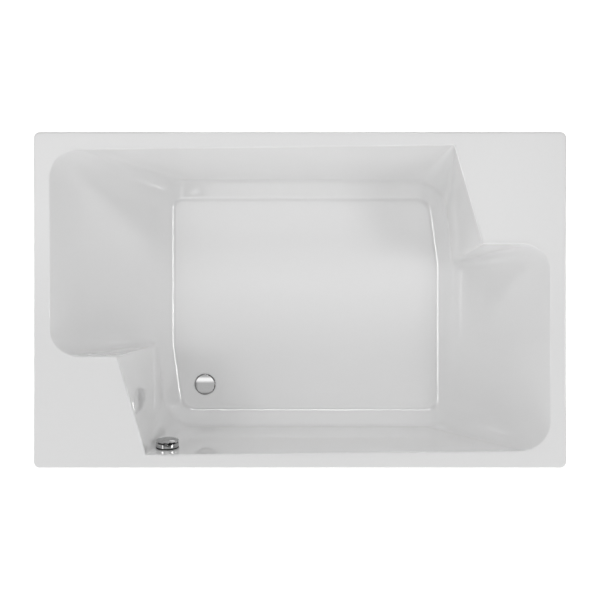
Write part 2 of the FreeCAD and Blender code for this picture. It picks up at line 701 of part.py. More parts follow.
def foot_pad(x, y):
    """Conical plastic pad with a blind socket for the spindle."""
    base = post(PAD_RADIUS, SOLE, SOLE + PAD_BASE, x, y)
    cone = Part.makeCone(PAD_RADIUS, PAD_TOP_RADIUS, PAD_HEIGHT - PAD_BASE, vec(x, y, SOLE + PAD_BASE))
    socket = post(SPINDLE_RADIUS + THREAD_FIT, SOLE + SOCKET_FLOOR, SOLE + PAD_HEIGHT + TINY, x, y)
    return base.fuse(cone).cut(socket)


def foot_sole(x, y):
    return post(PAD_RADIUS - SOLE_INSET, 0.0, SOLE, x, y)


def drain_flange():
    """Chrome ring in the recess, with a threaded tail and a three-armed guide for the stem."""
    top = DRAIN_FLANGE_Z + DRAIN_FLANGE
    tail_end = top - DRAIN_TAIL
    body = post(DRAIN_FLANGE_RADIUS, DRAIN_FLANGE_Z, top, DRAIN_X, DRAIN_Y)
    body = body.makeFillet(DRAIN_FLANGE / 2, [e for e in body.Edges if e.BoundBox.ZMin > top - TINY / 2])
    body = body.fuse(post(DRAIN_TAIL_RADIUS, tail_end, top - TINY, DRAIN_X, DRAIN_Y))
    body = body.cut(post(DRAIN_BORE_RADIUS, tail_end - TINY, top + TINY, DRAIN_X, DRAIN_Y))
    guide = post(GUIDE_RADIUS, tail_end, tail_end + GUIDE_HEIGHT, DRAIN_X, DRAIN_Y)
    for k in range(3):
        arm = box(0.0, DRAIN_BORE_RADIUS + TINY, -GUIDE_ARM / 2, GUIDE_ARM / 2,
                  tail_end, tail_end + GUIDE_HEIGHT)
        arm.rotate(vec(0, 0, 0), UP, LEVER_ANGLE + 120.0 * k)
        arm.translate(vec(DRAIN_X, DRAIN_Y, 0))
        guide = guide.fuse(arm)
    bore = post(STEM_RADIUS + RUNNING_FIT, tail_end - TINY, tail_end + GUIDE_HEIGHT + TINY, DRAIN_X, DRAIN_Y)
    return body.fuse(guide).cut(bore).removeSplitter()


def drain_top_seal():
    return ring(DRAIN_FLANGE_RADIUS - TINY, WASTE_HOLE_RADIUS, RECESS_Z, DRAIN_FLANGE_Z, DRAIN_X, DRAIN_Y)


def drain_bottom_seal():
    inner = WASTE_HOLE_RADIUS
    return ring(inner + SEAL_LAP, inner, COLLAR_TOP_Z, COLLAR_TOP_Z + BOTTOM_SEAL, DRAIN_X, DRAIN_Y)


def drain_body():
    """Cup under the floor with the overflow's inlet, the cable's port and a spigot down to the trap."""
    outer = DRAIN_CUP_RADIUS + DRAIN_BODY_WALL
    inlet = drain_point(INLET_Z)
    port = drain_point(CABLE_PORT_Z)
    port_heading = heading(CABLE_PORT_ANGLE)
    bore = TRAP_RADIUS - 2 * TRAP_WALL
    body = post(outer, DRAIN_BODY_Z, COLLAR_TOP_Z, DRAIN_X, DRAIN_Y)
    body = body.fuse(post(DRAIN_COLLAR_RADIUS, COLLAR_TOP_Z - DRAIN_COLLAR, COLLAR_TOP_Z, DRAIN_X, DRAIN_Y))
    body = body.fuse(post(TRAP_RADIUS, TRAP_TOP_Z, DRAIN_BODY_Z + TINY, DRAIN_X, DRAIN_Y))
    body = body.fuse(rod(SPIGOT_RADIUS, inlet, inlet + PIPE_HEADING * INLET_REACH))
    body = body.fuse(rod(GLAND_RADIUS, port, port + port_heading * CABLE_PORT_REACH))
    cup_floor = DRAIN_BODY_Z + DRAIN_BODY_FLOOR
    body = body.cut(post(DRAIN_CUP_RADIUS, cup_floor, COLLAR_TOP_Z + TINY, DRAIN_X, DRAIN_Y))
    body = body.cut(post(bore, TRAP_TOP_Z - TINY, COLLAR_TOP_Z, DRAIN_X, DRAIN_Y))
    pipe_seat = inlet + PIPE_HEADING * (INLET_REACH - PIPE_INSERT)
    body = body.cut(rod(PIPE_RADIUS - PIPE_WALL, inlet, pipe_seat + PIPE_HEADING))
    body = body.cut(rod(PIPE_RADIUS + PIPE_FIT, pipe_seat, pipe_seat + PIPE_HEADING * 2 * PIPE_INSERT))
    body = body.cut(rod(CABLE_RADIUS - TINY, port, port + port_heading * 2 * CABLE_PORT_REACH))
    start, end = lever_pin_ends(LEVER_PIN_BITE + RUNNING_FIT)
    return body.cut(rod(LEVER_PIN_RADIUS + RUNNING_FIT, start, end))


def lever_pivot():
    return drain_point(LEVER_Z) + heading(LEVER_ANGLE) * LEVER_REACH


def lever_axis():
    """Axis about which a positive turn lifts the lever's far end."""
    arm = heading(LEVER_ANGLE) * -1
    return arm.cross(UP)


def lever_pin_ends(bite):
    chord = math.sqrt(DRAIN_CUP_RADIUS ** 2 - LEVER_REACH ** 2) + bite
    return lever_pivot() - lever_axis() * chord, lever_pivot() + lever_axis() * chord


def lever_pin():
    start, end = lever_pin_ends(LEVER_PIN_BITE)
    return rod(LEVER_PIN_RADIUS, start, end)


def lift_lever():
    """Flat lever under the stem, round at its pivot."""
    half = LEVER_HALF_THICKNESS
    bar = box(-LEVER_REACH - LEVER_TIP, 0.0, -LEVER_WIDTH / 2, LEVER_WIDTH / 2, -half, half)
    eye = rod(LEVER_HEEL, vec(0, -LEVER_WIDTH / 2), vec(0, LEVER_WIDTH / 2))
    hole = rod(LEVER_PIN_RADIUS + RUNNING_FIT, vec(0, -LEVER_WIDTH), vec(0, LEVER_WIDTH))
    lever = bar.fuse(eye).cut(hole)
    lever.rotate(vec(0, 0, 0), UP, LEVER_ANGLE)
    lever.translate(lever_pivot())
    return lever


def plug_lift():
    """Rise of the plug at the lever's full swing."""
    swing = math.radians(LEVER_SWING)
    return LEVER_REACH * math.tan(swing) + (LEVER_HALF_THICKNESS + STEM_RADIUS) * (1 / math.cos(swing) - 1)


def plug_cap():
    """Slightly domed chrome cap."""
    crown = Part.Arc(vec(CAP_RADIUS, 0, CAP_EDGE), vec(CAP_RADIUS / 2, 0, CAP_EDGE + CAP_CROWN * 3 / 4),
                     vec(0, 0, CAP_EDGE + CAP_CROWN)).toShape()
    corners = [vec(0, 0, CAP_EDGE + CAP_CROWN), vec(0, 0, 0), vec(CAP_RADIUS, 0, 0),
               vec(CAP_RADIUS, 0, CAP_EDGE)]
    outline = Part.Wire([crown] + Part.makePolygon(corners).Edges)
    cap = Part.Face(outline).revolve(vec(0, 0, 0), UP, 360)
    rims = [e for e in cap.Edges if len(e.Vertexes) == 1 and e.BoundBox.XMax > CAP_RADIUS - TINY]
    cap = cap.makeFillet(CAP_EDGE_RADIUS, rims)
    cap.translate(drain_point(CAP_Z))
    return cap


def plug_stem():
    """Stem from under the cap to the lever, with a round end."""
    low = LEVER_Z + LEVER_HALF_THICKNESS + PLUG_SEAT_GAP + STEM_RADIUS
    bar = post(STEM_RADIUS, low, CAP_Z, DRAIN_X, DRAIN_Y)
    return bar.fuse(Part.makeSphere(STEM_RADIUS, drain_point(low))).removeSplitter()


def plug_seal():
    low = CAP_Z - PLUG_SEAL
    return ring(PLUG_SEAL_RADIUS, PLUG_SEAL_RADIUS - SEAL_LAP, low, CAP_Z, DRAIN_X, DRAIN_Y)


def overflow_gasket():
    return at_overflow(ring(COLLAR_RADIUS, WASTE_HOLE_RADIUS, COLLAR_FRONT, COLLAR_FRONT + OVERFLOW_GASKET))


def overflow_body():
    """Elbow behind the wall: collar, chamber, screw lugs, spigot down to the pipe and cable gland."""
    inner = CHAMBER_RADIUS - CHAMBER_WALL
    shell = post(COLLAR_RADIUS, COLLAR_FRONT - COLLAR, COLLAR_FRONT)
    shell = shell.fuse(post(CHAMBER_RADIUS, CHAMBER_BACK, COLLAR_FRONT))
    hollow = post(inner, CHAMBER_BACK + CHAMBER_WALL, COLLAR_FRONT + TINY)
    lugs = []
    for side in (-1, 1):
        x = side * FACE_SCREW_OFFSET
        lug_top = COLLAR_FRONT - TINY
        lug = post(LUG_RADIUS, lug_top - LUG_LENGTH, lug_top, x)
        lugs.append(at_overflow(lug.common(post(CHAMBER_RADIUS, CHAMBER_BACK, COLLAR_FRONT))))
    bottom = vec(CHAMBER_MIDDLE.x, CHAMBER_MIDDLE.y, SPIGOT_END_Z)
    seat = bottom + vec(0, 0, PIPE_INSERT)
    body = at_overflow(shell).fuse(rod(SPIGOT_RADIUS, bottom, CHAMBER_MIDDLE))
    body = body.fuse(rod(GLAND_RADIUS, cable_start(), cable_start() + vec(0, 0, GLAND_LENGTH)))
    body = body.cut(at_overflow(hollow))
    body = body.cut(rod(PIPE_RADIUS - PIPE_WALL, bottom, CHAMBER_MIDDLE))
    body = body.cut(rod(PIPE_RADIUS + PIPE_FIT, bottom - UP, seat))
    for lug in lugs:
        body = body.fuse(lug)
    for side in (-1, 1):
        hole = post(FACE_SCREW_RADIUS + THREAD_FIT, FACE - FACE_SCREW_LENGTH - TINY, COLLAR_FRONT + TINY,
                    side * FACE_SCREW_OFFSET)
        body = body.cut(at_overflow(hole))
    return body


def overflow_flange():
    """Plate on the inside of the wall that clamps the elbow and carries the knob's spindle."""
    plate = post(FACE_RADIUS, SEAT_GAP, ROSETTE_BACK)
    plate = plate.fuse(post(KNOB_RADIUS - ROSETTE_WALL - ROSETTE_FIT, ROSETTE_BACK, FACE))
    lip = WASTE_HOLE_RADIUS - PIPE_FIT
    plate = plate.fuse(ring(lip, lip - FACE_LIP, -FACE_LIP_DEPTH, FACE))
    plate = plate.fuse(post(FACE_BUSH_RADIUS, -FACE_LIP_DEPTH, FACE + FACE_BUSH))
    plate = plate.cut(post(KNOB_SPINDLE_RADIUS + RUNNING_FIT, -2 * FACE_LIP_DEPTH, 2 * (FACE + FACE_BUSH)))
    for k in range(INLET_COUNT):
        place = heading(90.0 + 360.0 * k / INLET_COUNT) * INLET_CIRCLE
        plate = plate.cut(post(INLET_RADIUS, -2 * FACE_LIP_DEPTH, 2 * FACE, place.x, place.y))
    for side in (-1, 1):
        hole = post(FACE_SCREW_RADIUS + THREAD_FIT, -FACE_LIP_DEPTH, 2 * FACE, side * FACE_SCREW_OFFSET)
        plate = plate.cut(hole)
    return at_overflow(plate.removeSplitter())


def overflow_screws():
    screws = []
    for side in (-1, 1):
        x = side * FACE_SCREW_OFFSET
        shank = post(FACE_SCREW_RADIUS, FACE - FACE_SCREW_LENGTH, FACE, x)
        screws.append(at_overflow(shank.fuse(post(FACE_SCREW_HEAD_RADIUS, FACE, FACE + FACE_SCREW_HEAD, x))))
    return Part.makeCompound(screws)


def rosette_seal():
    """Soft ring between the rosette and the wall."""
    return at_overflow(ring(KNOB_RADIUS, FACE_RADIUS + ROSETTE_FIT, SEAT_GAP, ROSETTE_BACK))


def overflow_rosette():
    """Chrome ring snapped on the plate, with webs in front that leave windows for the water."""
    inner = KNOB_RADIUS - ROSETTE_WALL
    body = post(KNOB_RADIUS, ROSETTE_BACK, ROSETTE_FRONT)
    edges = [e for e in body.Edges if e.BoundBox.ZLength < TINY]
    body = body.makeFillet(ROSETTE_EDGE_RADIUS, edges)
    webs = ring(KNOB_RADIUS - ROSETTE_EDGE_RADIUS, inner, ROSETTE_FRONT - TINY, KNOB_BACK - WEB_GAP)
    room = None
    for k in range(ROSETTE_WEBS):
        slat = box(0.0, KNOB_RADIUS, -WEB_WIDTH / 2, WEB_WIDTH / 2, ROSETTE_FRONT - TINY, KNOB_BACK)
        slat.rotate(vec(0, 0, 0), UP, 90.0 + 360.0 * k / ROSETTE_WEBS)
        room = slat if room is None else room.fuse(slat)
    body = body.cut(post(inner, ROSETTE_BACK - TINY, ROSETTE_FRONT + TINY)).fuse(webs.common(room))
    return at_overflow(body)


def overflow_knob():
    """Round chrome knob with a domed face, hollow behind, on a hub."""
    bow = (KNOB_RADIUS ** 2 + KNOB_CROWN ** 2) / (2 * KNOB_CROWN)
    middle = vec(0, 0, KNOB_FACE - bow)
    body = post(KNOB_RADIUS, KNOB_BACK, KNOB_FACE).common(Part.makeSphere(bow, middle))
    edges = [e for e in body.Edges if e.BoundBox.ZLength < TINY and e.BoundBox.ZMin > KNOB_BACK + TINY]
    body = body.makeFillet(KNOB_EDGE_RADIUS, edges)
    hollow = post(KNOB_RADIUS - ROSETTE_WALL, KNOB_BACK - TINY, KNOB_FACE)
    body = body.cut(hollow.common(Part.makeSphere(bow - KNOB_SKIN, middle)))
    hub_end = FACE + FACE_BUSH + HUB_GAP
    hub = post(HUB_RADIUS, hub_end, KNOB_FACE - KNOB_SKIN / 2)
    hub = hub.cut(post(KNOB_SPINDLE_RADIUS + RUNNING_FIT, hub_end - TINY, KNOB_FACE - KNOB_SKIN))
    return at_overflow(body.fuse(hub))


def overflow_spindle():
    """Spindle through the plate's bush, with the crank that pulls the cable."""
    tip = KNOB_FACE - KNOB_SKIN - SEAT_GAP
    crank = CHAMBER_BACK + CHAMBER_WALL + CRANK_BACK_GAP
    shaft = post(KNOB_SPINDLE_RADIUS, crank, tip)
    return at_overflow(shaft.fuse(post(CRANK_RADIUS, crank, crank + CRANK)))


def overflow_pipe():
    """Bent pipe from the overflow's spigot down and across to the drain's inlet."""
    high = vec(CHAMBER_MIDDLE.x, CHAMBER_MIDDLE.y, SPIGOT_END_Z + PIPE_INSERT - PIPE_FIT)
    corner = vec(CHAMBER_MIDDLE.x, CHAMBER_MIDDLE.y, INLET_Z)
    low = drain_point(INLET_Z) + PIPE_HEADING * (INLET_REACH - PIPE_INSERT + PIPE_FIT)
    path = bent_path([high, corner, low], PIPE_BEND_RADIUS)
    return swept_rod(path, PIPE_RADIUS).cut(swept_rod(path, PIPE_RADIUS - PIPE_WALL))


def union_nut(radius, spigot, bore):
    """Ribbed nut made upright: it laps a spigot above its origin and closes on a pipe below."""
    low = UNION_LAP - UNION_LENGTH
    nut = post(radius - UNION_RIB, low, UNION_LAP)
    for k in range(UNION_RIBS):
        place = heading(360.0 * k / UNION_RIBS) * (radius - UNION_RIB)
        nut = nut.fuse(post(UNION_RIB, low, UNION_LAP, place.x, place.y))
    nut = nut.cut(post(spigot + UNION_FIT, 0.0, UNION_LAP + TINY))
    return nut.cut(post(bore + UNION_FIT, low - TINY, TINY))


def place_nut(nut, point, upward):
    """Stands a union nut on a spigot's end, with its lap pointing back along the spigot."""
    nut.Placement = FreeCAD.Placement(point, FreeCAD.Rotation(UP, upward))
    return nut


def upper_pipe_nut():
    end = vec(CHAMBER_MIDDLE.x, CHAMBER_MIDDLE.y, SPIGOT_END_Z - UNION_FIT)
    return place_nut(union_nut(UNION_RADIUS, SPIGOT_RADIUS, PIPE_RADIUS), end, UP)


def lower_pipe_nut():
    end = drain_point(INLET_Z) + PIPE_HEADING * (INLET_REACH + UNION_FIT)
    return place_nut(union_nut(UNION_RADIUS, SPIGOT_RADIUS, PIPE_RADIUS), end, PIPE_HEADING * -1)


def cable_start():
    """Lower end of the cable gland beside the overflow chamber."""
    side = CHAMBER_RADIUS + GLAND_RADIUS / 2
    return CHAMBER_MIDDLE + vec(side, 0, -GLAND_LENGTH / 2)


def actuator_cable():
    """Sheathed cable from the overflow's gland to the drain's port, on three runs and two arcs."""
    port_heading = heading(CABLE_PORT_ANGLE)
    start = cable_start()
    fall = start - vec(0, 0, CABLE_FALL)
    end = drain_point(CABLE_PORT_Z) + port_heading * CABLE_PORT_REACH
    lead = end + port_heading * CABLE_LEAD_IN
    points = [start, fall, lead, end]
    radii = []
    for i in (1, 2):
        shorter = min((points[i] - points[i - 1]).Length, (points[i + 1] - points[i]).Length)
        turn = (points[i] - points[i - 1]).getAngle(points[i + 1] - points[i])
        radii.append(CABLE_BEND_SHARE * shorter / math.tan(turn / 2))
    print("cable bend radii", [round(r, 1) for r in radii])
    return swept_rod(bent_path(points, radii), CABLE_RADIUS)


def trap_outlet_start():
    """Middle of the trap's outlet where the outlet pipe begins."""
    return drain_point(OUTLET_Z) + vec(2 * TRAP_BEND_RADIUS, -TRAP_BEND_RADIUS - TRAP_OUTLET_LEAD)


def trap_nut():
    end = drain_point(TRAP_TOP_Z - UNION_FIT)
    return place_nut(union_nut(TRAP_NUT_RADIUS, TRAP_RADIUS, TRAP_RADIUS), end, UP)


def trap_bend():
    """Pipe bend under the drain that holds the water seal, then turns to the front."""
    side = vec(2 * TRAP_BEND_RADIUS, 0)
    points = [drain_point(TRAP_TOP_Z - UNION_FIT), drain_point(TRAP_DIP_Z), drain_point(TRAP_DIP_Z) + side,
              drain_point(OUTLET_Z) + side, trap_outlet_start()]
    path = bent_path(points, TRAP_BEND_RADIUS - UNION_FIT)
    return swept_rod(path, TRAP_RADIUS).cut(swept_rod(path, TRAP_RADIUS - TRAP_WALL))


def outlet_nut():
    nut = union_nut(TRAP_NUT_RADIUS, TRAP_RADIUS, TRAP_RADIUS)
    return place_nut(nut, trap_outlet_start(), vec(0, 1, 0))


def outlet_end():
    return trap_outlet_start() - vec(0, UNION_LENGTH - UNION_LAP + STOP_BEAD + OUTLET_LENGTH)


def outlet_pipe():
    """Pipe to the front, with a stop bead against the nut."""
    start = trap_outlet_start() - vec(0, UNION_FIT)
    stop = outlet_end() + vec(0, OUTLET_LENGTH)
    pipe = rod(TRAP_RADIUS, start, outlet_end())
    pipe = pipe.fuse(rod(TRAP_RADIUS + STOP_BEAD_RISE, stop, stop + vec(0, STOP_BEAD)))
    return pipe.cut(rod(TRAP_RADIUS - TRAP_WALL, start + vec(0, TINY), outlet_end() - vec(0, TINY)))


def main():
    os.makedirs("parts", exist_ok=True)
    save("tub_shell", tub_shell())
    save("glass_fibre_backing", glass_fibre_backing())
    save("base_board", base_board())
    for name, shape in {**rim_battens(), **deck_boards()}.items():
        save(name, shape)
    for name, x in zip(("left_rail", "middle_rail", "right_rail"), rail_places()):
        save(name, rail(x))
    save("rail_screws", rail_screws())
    save("weld_nuts", nuts(RAIL_WEB_Z + RAIL_SHEET + NUT_HEIGHT))
    save("lock_nuts", nuts(RAIL_WEB_Z))
    for number, (x, y) in enumerate(foot_places(), 1):
        save(f"foot_spindle_{number}", foot_spindle(x, y))
        save(f"foot_pad_{number}", foot_pad(x, y))
        save(f"foot_sole_{number}", foot_sole(x, y))
    for make in (drain_flange, drain_top_seal, drain_bottom_seal, drain_body, plug_cap, plug_stem,
                 plug_seal, lift_lever, lever_pin, overflow_body, overflow_gasket, overflow_flange,
                 overflow_screws, rosette_seal, overflow_rosette, overflow_knob, overflow_spindle,
                 overflow_pipe, upper_pipe_nut, lower_pipe_nut, actuator_cable, trap_nut, trap_bend,
                 outlet_nut, outlet_pipe):
        save(make.__name__, make())
    for name, count, volume in MADE:
        print(f"{name}: {count} solid, {volume:.0f} mm3")
    print("knob axis", OVERFLOW_POINT, OVERFLOW_AXIS)
    print("lever pivot", lever_pivot(), "axis", lever_axis())
    print("plug lift", round(plug_lift(), 3), "outlet end", outlet_end())
    print("feet", foot_places())


main()
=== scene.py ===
import json
import math

import bmesh
import bpy
from mathutils import Matrix, Vector
from mathutils.geometry import interpolate_bezier


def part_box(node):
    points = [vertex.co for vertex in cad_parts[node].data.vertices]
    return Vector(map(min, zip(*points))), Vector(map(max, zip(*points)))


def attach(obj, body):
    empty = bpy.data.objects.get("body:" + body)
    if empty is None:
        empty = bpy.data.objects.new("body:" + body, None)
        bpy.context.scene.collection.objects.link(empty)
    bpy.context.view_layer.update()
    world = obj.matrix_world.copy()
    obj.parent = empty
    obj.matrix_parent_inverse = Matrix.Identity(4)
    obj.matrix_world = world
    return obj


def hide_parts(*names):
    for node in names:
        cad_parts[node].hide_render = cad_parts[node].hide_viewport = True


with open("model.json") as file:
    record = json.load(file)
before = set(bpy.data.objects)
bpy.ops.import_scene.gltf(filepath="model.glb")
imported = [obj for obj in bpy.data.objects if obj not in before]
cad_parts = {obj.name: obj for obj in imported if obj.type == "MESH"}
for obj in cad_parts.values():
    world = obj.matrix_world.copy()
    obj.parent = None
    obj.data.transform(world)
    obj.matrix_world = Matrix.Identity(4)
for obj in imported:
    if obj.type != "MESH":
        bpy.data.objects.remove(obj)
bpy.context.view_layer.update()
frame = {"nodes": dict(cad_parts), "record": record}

RECORD = frame["record"]
SLOTS = {subpart["node"]: subpart["material_slot"] for subpart in RECORD["subparts"]}

# Sizes are millimetres, and a mesh is turned to metres when it is made.
MM = 0.001

# Rim
RIM_LENGTH = 1900.0
RIM_WIDTH = 1200.0
RIM_Z = 600.0
SKIRT_Z = 560.0
RIM_CORNER_RADIUS = 24.0
RIM_EDGE_RADIUS = 7.0
RIM_BORDER = 9.8
SHEET = 3.5

# Half of the basin's outline at the top of the walls, at the knee and at the floor.
# The other half is the same after half a turn.
WALL_TOP_Z = 593.0
KNEE_Z = 220.0
FLOOR_Z = 170.0
WALL_TOP_CORNERS = [(886.0, -534.0), (886.0, 199.0), (650.0, 199.0), (549.0, 551.0)]
KNEE_CORNERS = [(561.0, -469.5), (561.0, 135.0), (560.0, 161.0), (531.0, 469.5)]
FLOOR_CORNERS = [(510.0, -407.0), (510.0, 135.0), (509.0, 161.0), (473.0, 407.0)]
WALL_TOP_RADII = [104.0, 100.0, 10.0, 8.0]
KNEE_SETBACKS = [110.0, 9.0, 9.0, 120.0]
FLOOR_SETBACKS = [40.0, 9.0, 9.0, 50.0]
FLOOR_SHIFT = Vector((21.0, -15.0))
LEAST_SETBACK = 0.5

# Rounds across the walls
OPENING_EDGE_RADIUS = 7.0
KNEE_SETBACK = 16.0
FLOOR_EDGE_RADIUS = 32.0
DECK_BORDER = 14.0
FLOOR_BORDER = 22.0

# How finely the shell is drawn
CORNER_STEPS = 14
SIDE_STEPS = 18
ROUND_STEPS = 8
WALL_STEPS = 20
COVE_STEPS = 2
RIM_SIDE_STEPS = 24

# How finely the turned pieces are drawn: points round the axis and along a curve
CHROME_TURNS = 128
GUIDE_TURNS = 180
DRILL_TURNS = 96
NUT_TURNS = 72
SPINDLE_TURNS = 24
PAD_TURNS = 96
SCREW_TURNS = 48
BOWL_STEPS = 16
CEILING_STEPS = 8
WINDOW_STEPS = 16
WEB_STEPS = 3

# Edges that turn by more than this, in degrees, stay sharp
SHARP_SHELL = 40
SHARP_CHROME = 40
SHARP_ROSETTE = 35
SHARP_NUT = 30
SHARP_THREAD = 50
SHARP_PAD = 35
SHARP_SCREW = 35

# Most of a side that a rounded corner may take up
SOFT_SHARE = 0.45

# Drain
DRAIN = Vector((-367.0, -326.0))
RECESS_RADIUS = 41.0
RECESS_Z = 167.0
RECESS_LIP_RADIUS = 1.5
RECESS_BORDER = 4.5
RECESS_STEPS = 112
WASTE_HOLE_RADIUS = 26.0
DRAIN_FLANGE_RADIUS = 40.0
DRAIN_FLANGE_Z = 168.5
DRAIN_FLANGE_TOP = 171.0
FLANGE_SEAT_RADIUS = 31.0
FLANGE_DISH_RADIUS = 35.5
FLANGE_DISH_Z = 169.2
FLANGE_EDGE = 0.5
DRAIN_BORE_RADIUS = 23.0
DRAIN_TAIL_RADIUS = 25.0
DRAIN_TAIL_Z = 141.0
GUIDE_BORE = 4.06
GUIDE_RADIUS = 8.0
GUIDE_HEIGHT = 7.0
GUIDE_ARMS = 3
GUIDE_ARM = 3.5
GUIDE_ANGLE = 125.0
GUIDE_BITE = 1.0
CAP_RADIUS = 37.5
CAP_Z = 172.8
CAP_EDGE = 2.0
CAP_CROWN = 2.5
CAP_EDGE_RADIUS = 0.9

# Overflow, from the wall inwards
KNOB_RADIUS = 41.5
ROSETTE_BACK = 4.1
ROSETTE_FRONT = 19.6
ROSETTE_WALL = 4.0
ROSETTE_WEBS = 6
WEB_WIDTH = 9.0
WEB_FRONT = 25.2
KNOB_BACK = 25.6
KNOB_FACE = 34.6
KNOB_CROWN = 6.5
KNOB_SKIN = 2.0
HUB_RADIUS = 9.0
HUB_BACK = 13.1
KNOB_SPINDLE_RADIUS = 5.06
EDGE_RADIUS = 1.8
WEB_SET = 0.3
WEB_EDGE_TURN = 0.006
DRILL = 40.0

# Foot frame
FOOT_XS = (-440.0, 21.0, 482.0)
FOOT_YS = (-360.0, 330.0)
FOOT_PLACES = [(x, y) for x in FOOT_XS for y in FOOT_YS]
SCREWS_IN_ROW = 4
SCREW_SPACING = 400.0 / 3
SCREW_SIDE = 21.0
SCREW_YS = [FLOOR_SHIFT.y + SCREW_SPACING * (k - (SCREWS_IN_ROW - 1) / 2) for k in range(SCREWS_IN_ROW)]
SCREW_PLACES = [(x + side, y) for x in FOOT_XS for side in (-SCREW_SIDE, SCREW_SIDE) for y in SCREW_YS]
SCREW_RADIUS = 2.2
SCREW_HEAD_RADIUS = 4.5
SCREW_HEAD = 3.0
CROSS_ARM = 1.1
CROSS_REACH = 2.5
CROSS_DEPTH = 1.6
CROSS_TAPER = 0.7
SPINDLE_RADIUS = 6.0
THREAD_PITCH = 1.75
THREAD_DEPTH = 1.0
THREAD_ROWS = 350
HEXAGON_FLATS = 14.0
HEXAGON_Z = 25.0
HEXAGON_HEIGHT = 8.0
HEXAGON_EDGE = 0.8
NUT_FLATS = 19.0
NUT_BORE = 6.06
NUT_BREAK = 0.9
NUT_EDGE = 0.2
NUT_LEAN = 30.0
PAD_RADIUS = 30.0
PAD_TOP_RADIUS = 13.0
PAD_BASE = 7.0
PAD_LEDGE = 3.6
PAD_CONE_SET = 7.2
PAD_RIBS = 12
PAD_RIB_DEPTH = 2.2
PAD_RIB_LEVEL = 0.5
PAD_RIB_STEEPNESS = 1.5
PAD_RIB_TOP = 0.25
SOCKET_RADIUS = 6.06
SOCKET_Z = 9.0

# Smallest length or share that counts: closer to the axis than this is on it
SMALLEST = 0.01

# Photograph's camera: straight above the middle of the rim, at a height above it in metres
CAMERA_HEIGHT = 5.0
LENS = 84.25
SENSOR = 36.0

# Room light, and soft-edged light panels overhead and to three sides: each panel's strength, then where it
# starts, is full, fades and is gone along x and y, as the slope away from straight up
ROOM_LIGHT = 0.06
PANELS = [(0.53, ("X", -0.42, -0.25, 0.25, 0.42), ("Y", -0.42, -0.25, 0.25, 0.42)),
          (0.75, ("X", -0.5, -0.35, 0.13, 0.25), ("Y", -0.03, 0.06, 0.10, 0.17)),
          (0.5, ("X", 0.5, 0.65, 1.05, 1.2), ("Y", -0.2, -0.05, 0.35, 0.5)),
          (0.5, ("X", -1.2, -1.05, -0.6, -0.42), ("Y", -0.5, -0.35, 0.35, 0.5)),
          (0.6, ("X", -0.5, -0.35, 0.35, 0.5), ("Y", -1.2, -1.05, -0.6, -0.42))]

# Lamps round the tub, in metres: turn from the x axis and height in degrees, width, height and watts. Narrow
# ones draw the lines along the floor's edge, and wide soft ones light the walls.
LAMP_DISTANCE = 4.5
LAMPS = [(0, 42, 1.3, 0.8, 28.0), (0, 28, 5.0, 1.6, 15.0), (90, 42, 1.7, 0.8, 29.0),
         (90, 14, 5.0, 1.6, 9.0), (180, 42, 1.3, 0.8, 21.0), (180, 28, 5.0, 1.6, 33.0),
         (270, 42, 1.7, 0.8, 10.0), (270, 14, 5.0, 1.6, 47.0), (270, 28, 5.0, 1.6, 18.0),
         (315, 28, 5.0, 1.6, 11.0)]

# How far the roughness of chrome and of plastic strays from its middle
CHROME_SPREAD = 0.02
PLASTIC_SPREAD = 0.06

# Light from the floor, and the pale wall far round the tub
FLOOR_GLOW = 0.6
FLOOR_HALF = 30000.0
BACKDROP_DISTANCE = 25000.0
BACKDROP_HEIGHT = 5000.0
BACKDROP_TURNS = 96


def linear(colour):
    """sRGB hex colour to the linear colour that a shader takes."""
    shares = [int(colour[i:i + 2], 16) / 255 for i in (1, 3, 5)]
    return [s / 12.92 if s <= 0.04045 else ((s + 0.055) / 1.055) ** 2.4 for s in shares] + [1.0]


def per_metre(size):
    """Scale of a pattern whose features are that many millimetres wide."""
    return 1 / (size * MM)


def add(tree, kind, links, **settings):
    """Adds one node with its settings, and fills its inputs with values or links."""
    made = tree.nodes.new(kind)
    for name, value in settings.items():
        setattr(made, name, value)
    for name, value in links.items():
        if isinstance(value, bpy.types.NodeSocket):
            tree.links.new(value, made.inputs[name])
        else:
            made.inputs[name].default_value = value
    return made


def blank(name):
    """Empty material, its node tree and the place on the object in metres."""
    made = bpy.data.materials.new(name)
    made.use_nodes = True
    made.node_tree.nodes.clear()
    place = add(made.node_tree, "ShaderNodeTexCoord", {}).outputs["Object"]
    return made, made.node_tree, place


def surface(tree, **inputs):
    """Principled shader on the material's output."""
    shader = add(tree, "ShaderNodeBsdfPrincipled", {n.replace("_", " "): v for n, v in inputs.items()})
    add(tree, "ShaderNodeOutputMaterial", {"Surface": shader.outputs["BSDF"]})


# Cast-sheet acrylic, drawn in a mould: a white gloss with a very slight long wave in its mirror.
def drawn_acrylic():
    made, tree, place = blank("white_acrylic_drawn_gloss")
    wave = add(tree, "ShaderNodeTexNoise", {"Vector": place, "Scale": per_metre(140), "Detail": 1.0})
    fine = add(tree, "ShaderNodeTexNoise", {"Vector": place, "Scale": per_metre(9), "Detail": 2.0})
    colour = add(tree, "ShaderNodeMix", {"Factor": fine.outputs["Fac"], "A": linear("#f8f8f8"),
                 "B": linear("#fafafa")}, data_type="RGBA")
    gloss = add(tree, "ShaderNodeMapRange", {"Value": wave.outputs["Fac"], "To Min": 0.05, "To Max": 0.10})
    bump = add(tree, "ShaderNodeBump", {"Height": wave.outputs["Fac"], "Strength": 0.25, "Distance": 0.0012})
    surface(tree, Base_Color=colour.outputs["Result"], Roughness=gloss.outputs["Result"], IOR=1.49,
            Coat_Weight=1.0, Coat_Roughness=0.03, Normal=bump.outputs["Normal"])
    return made


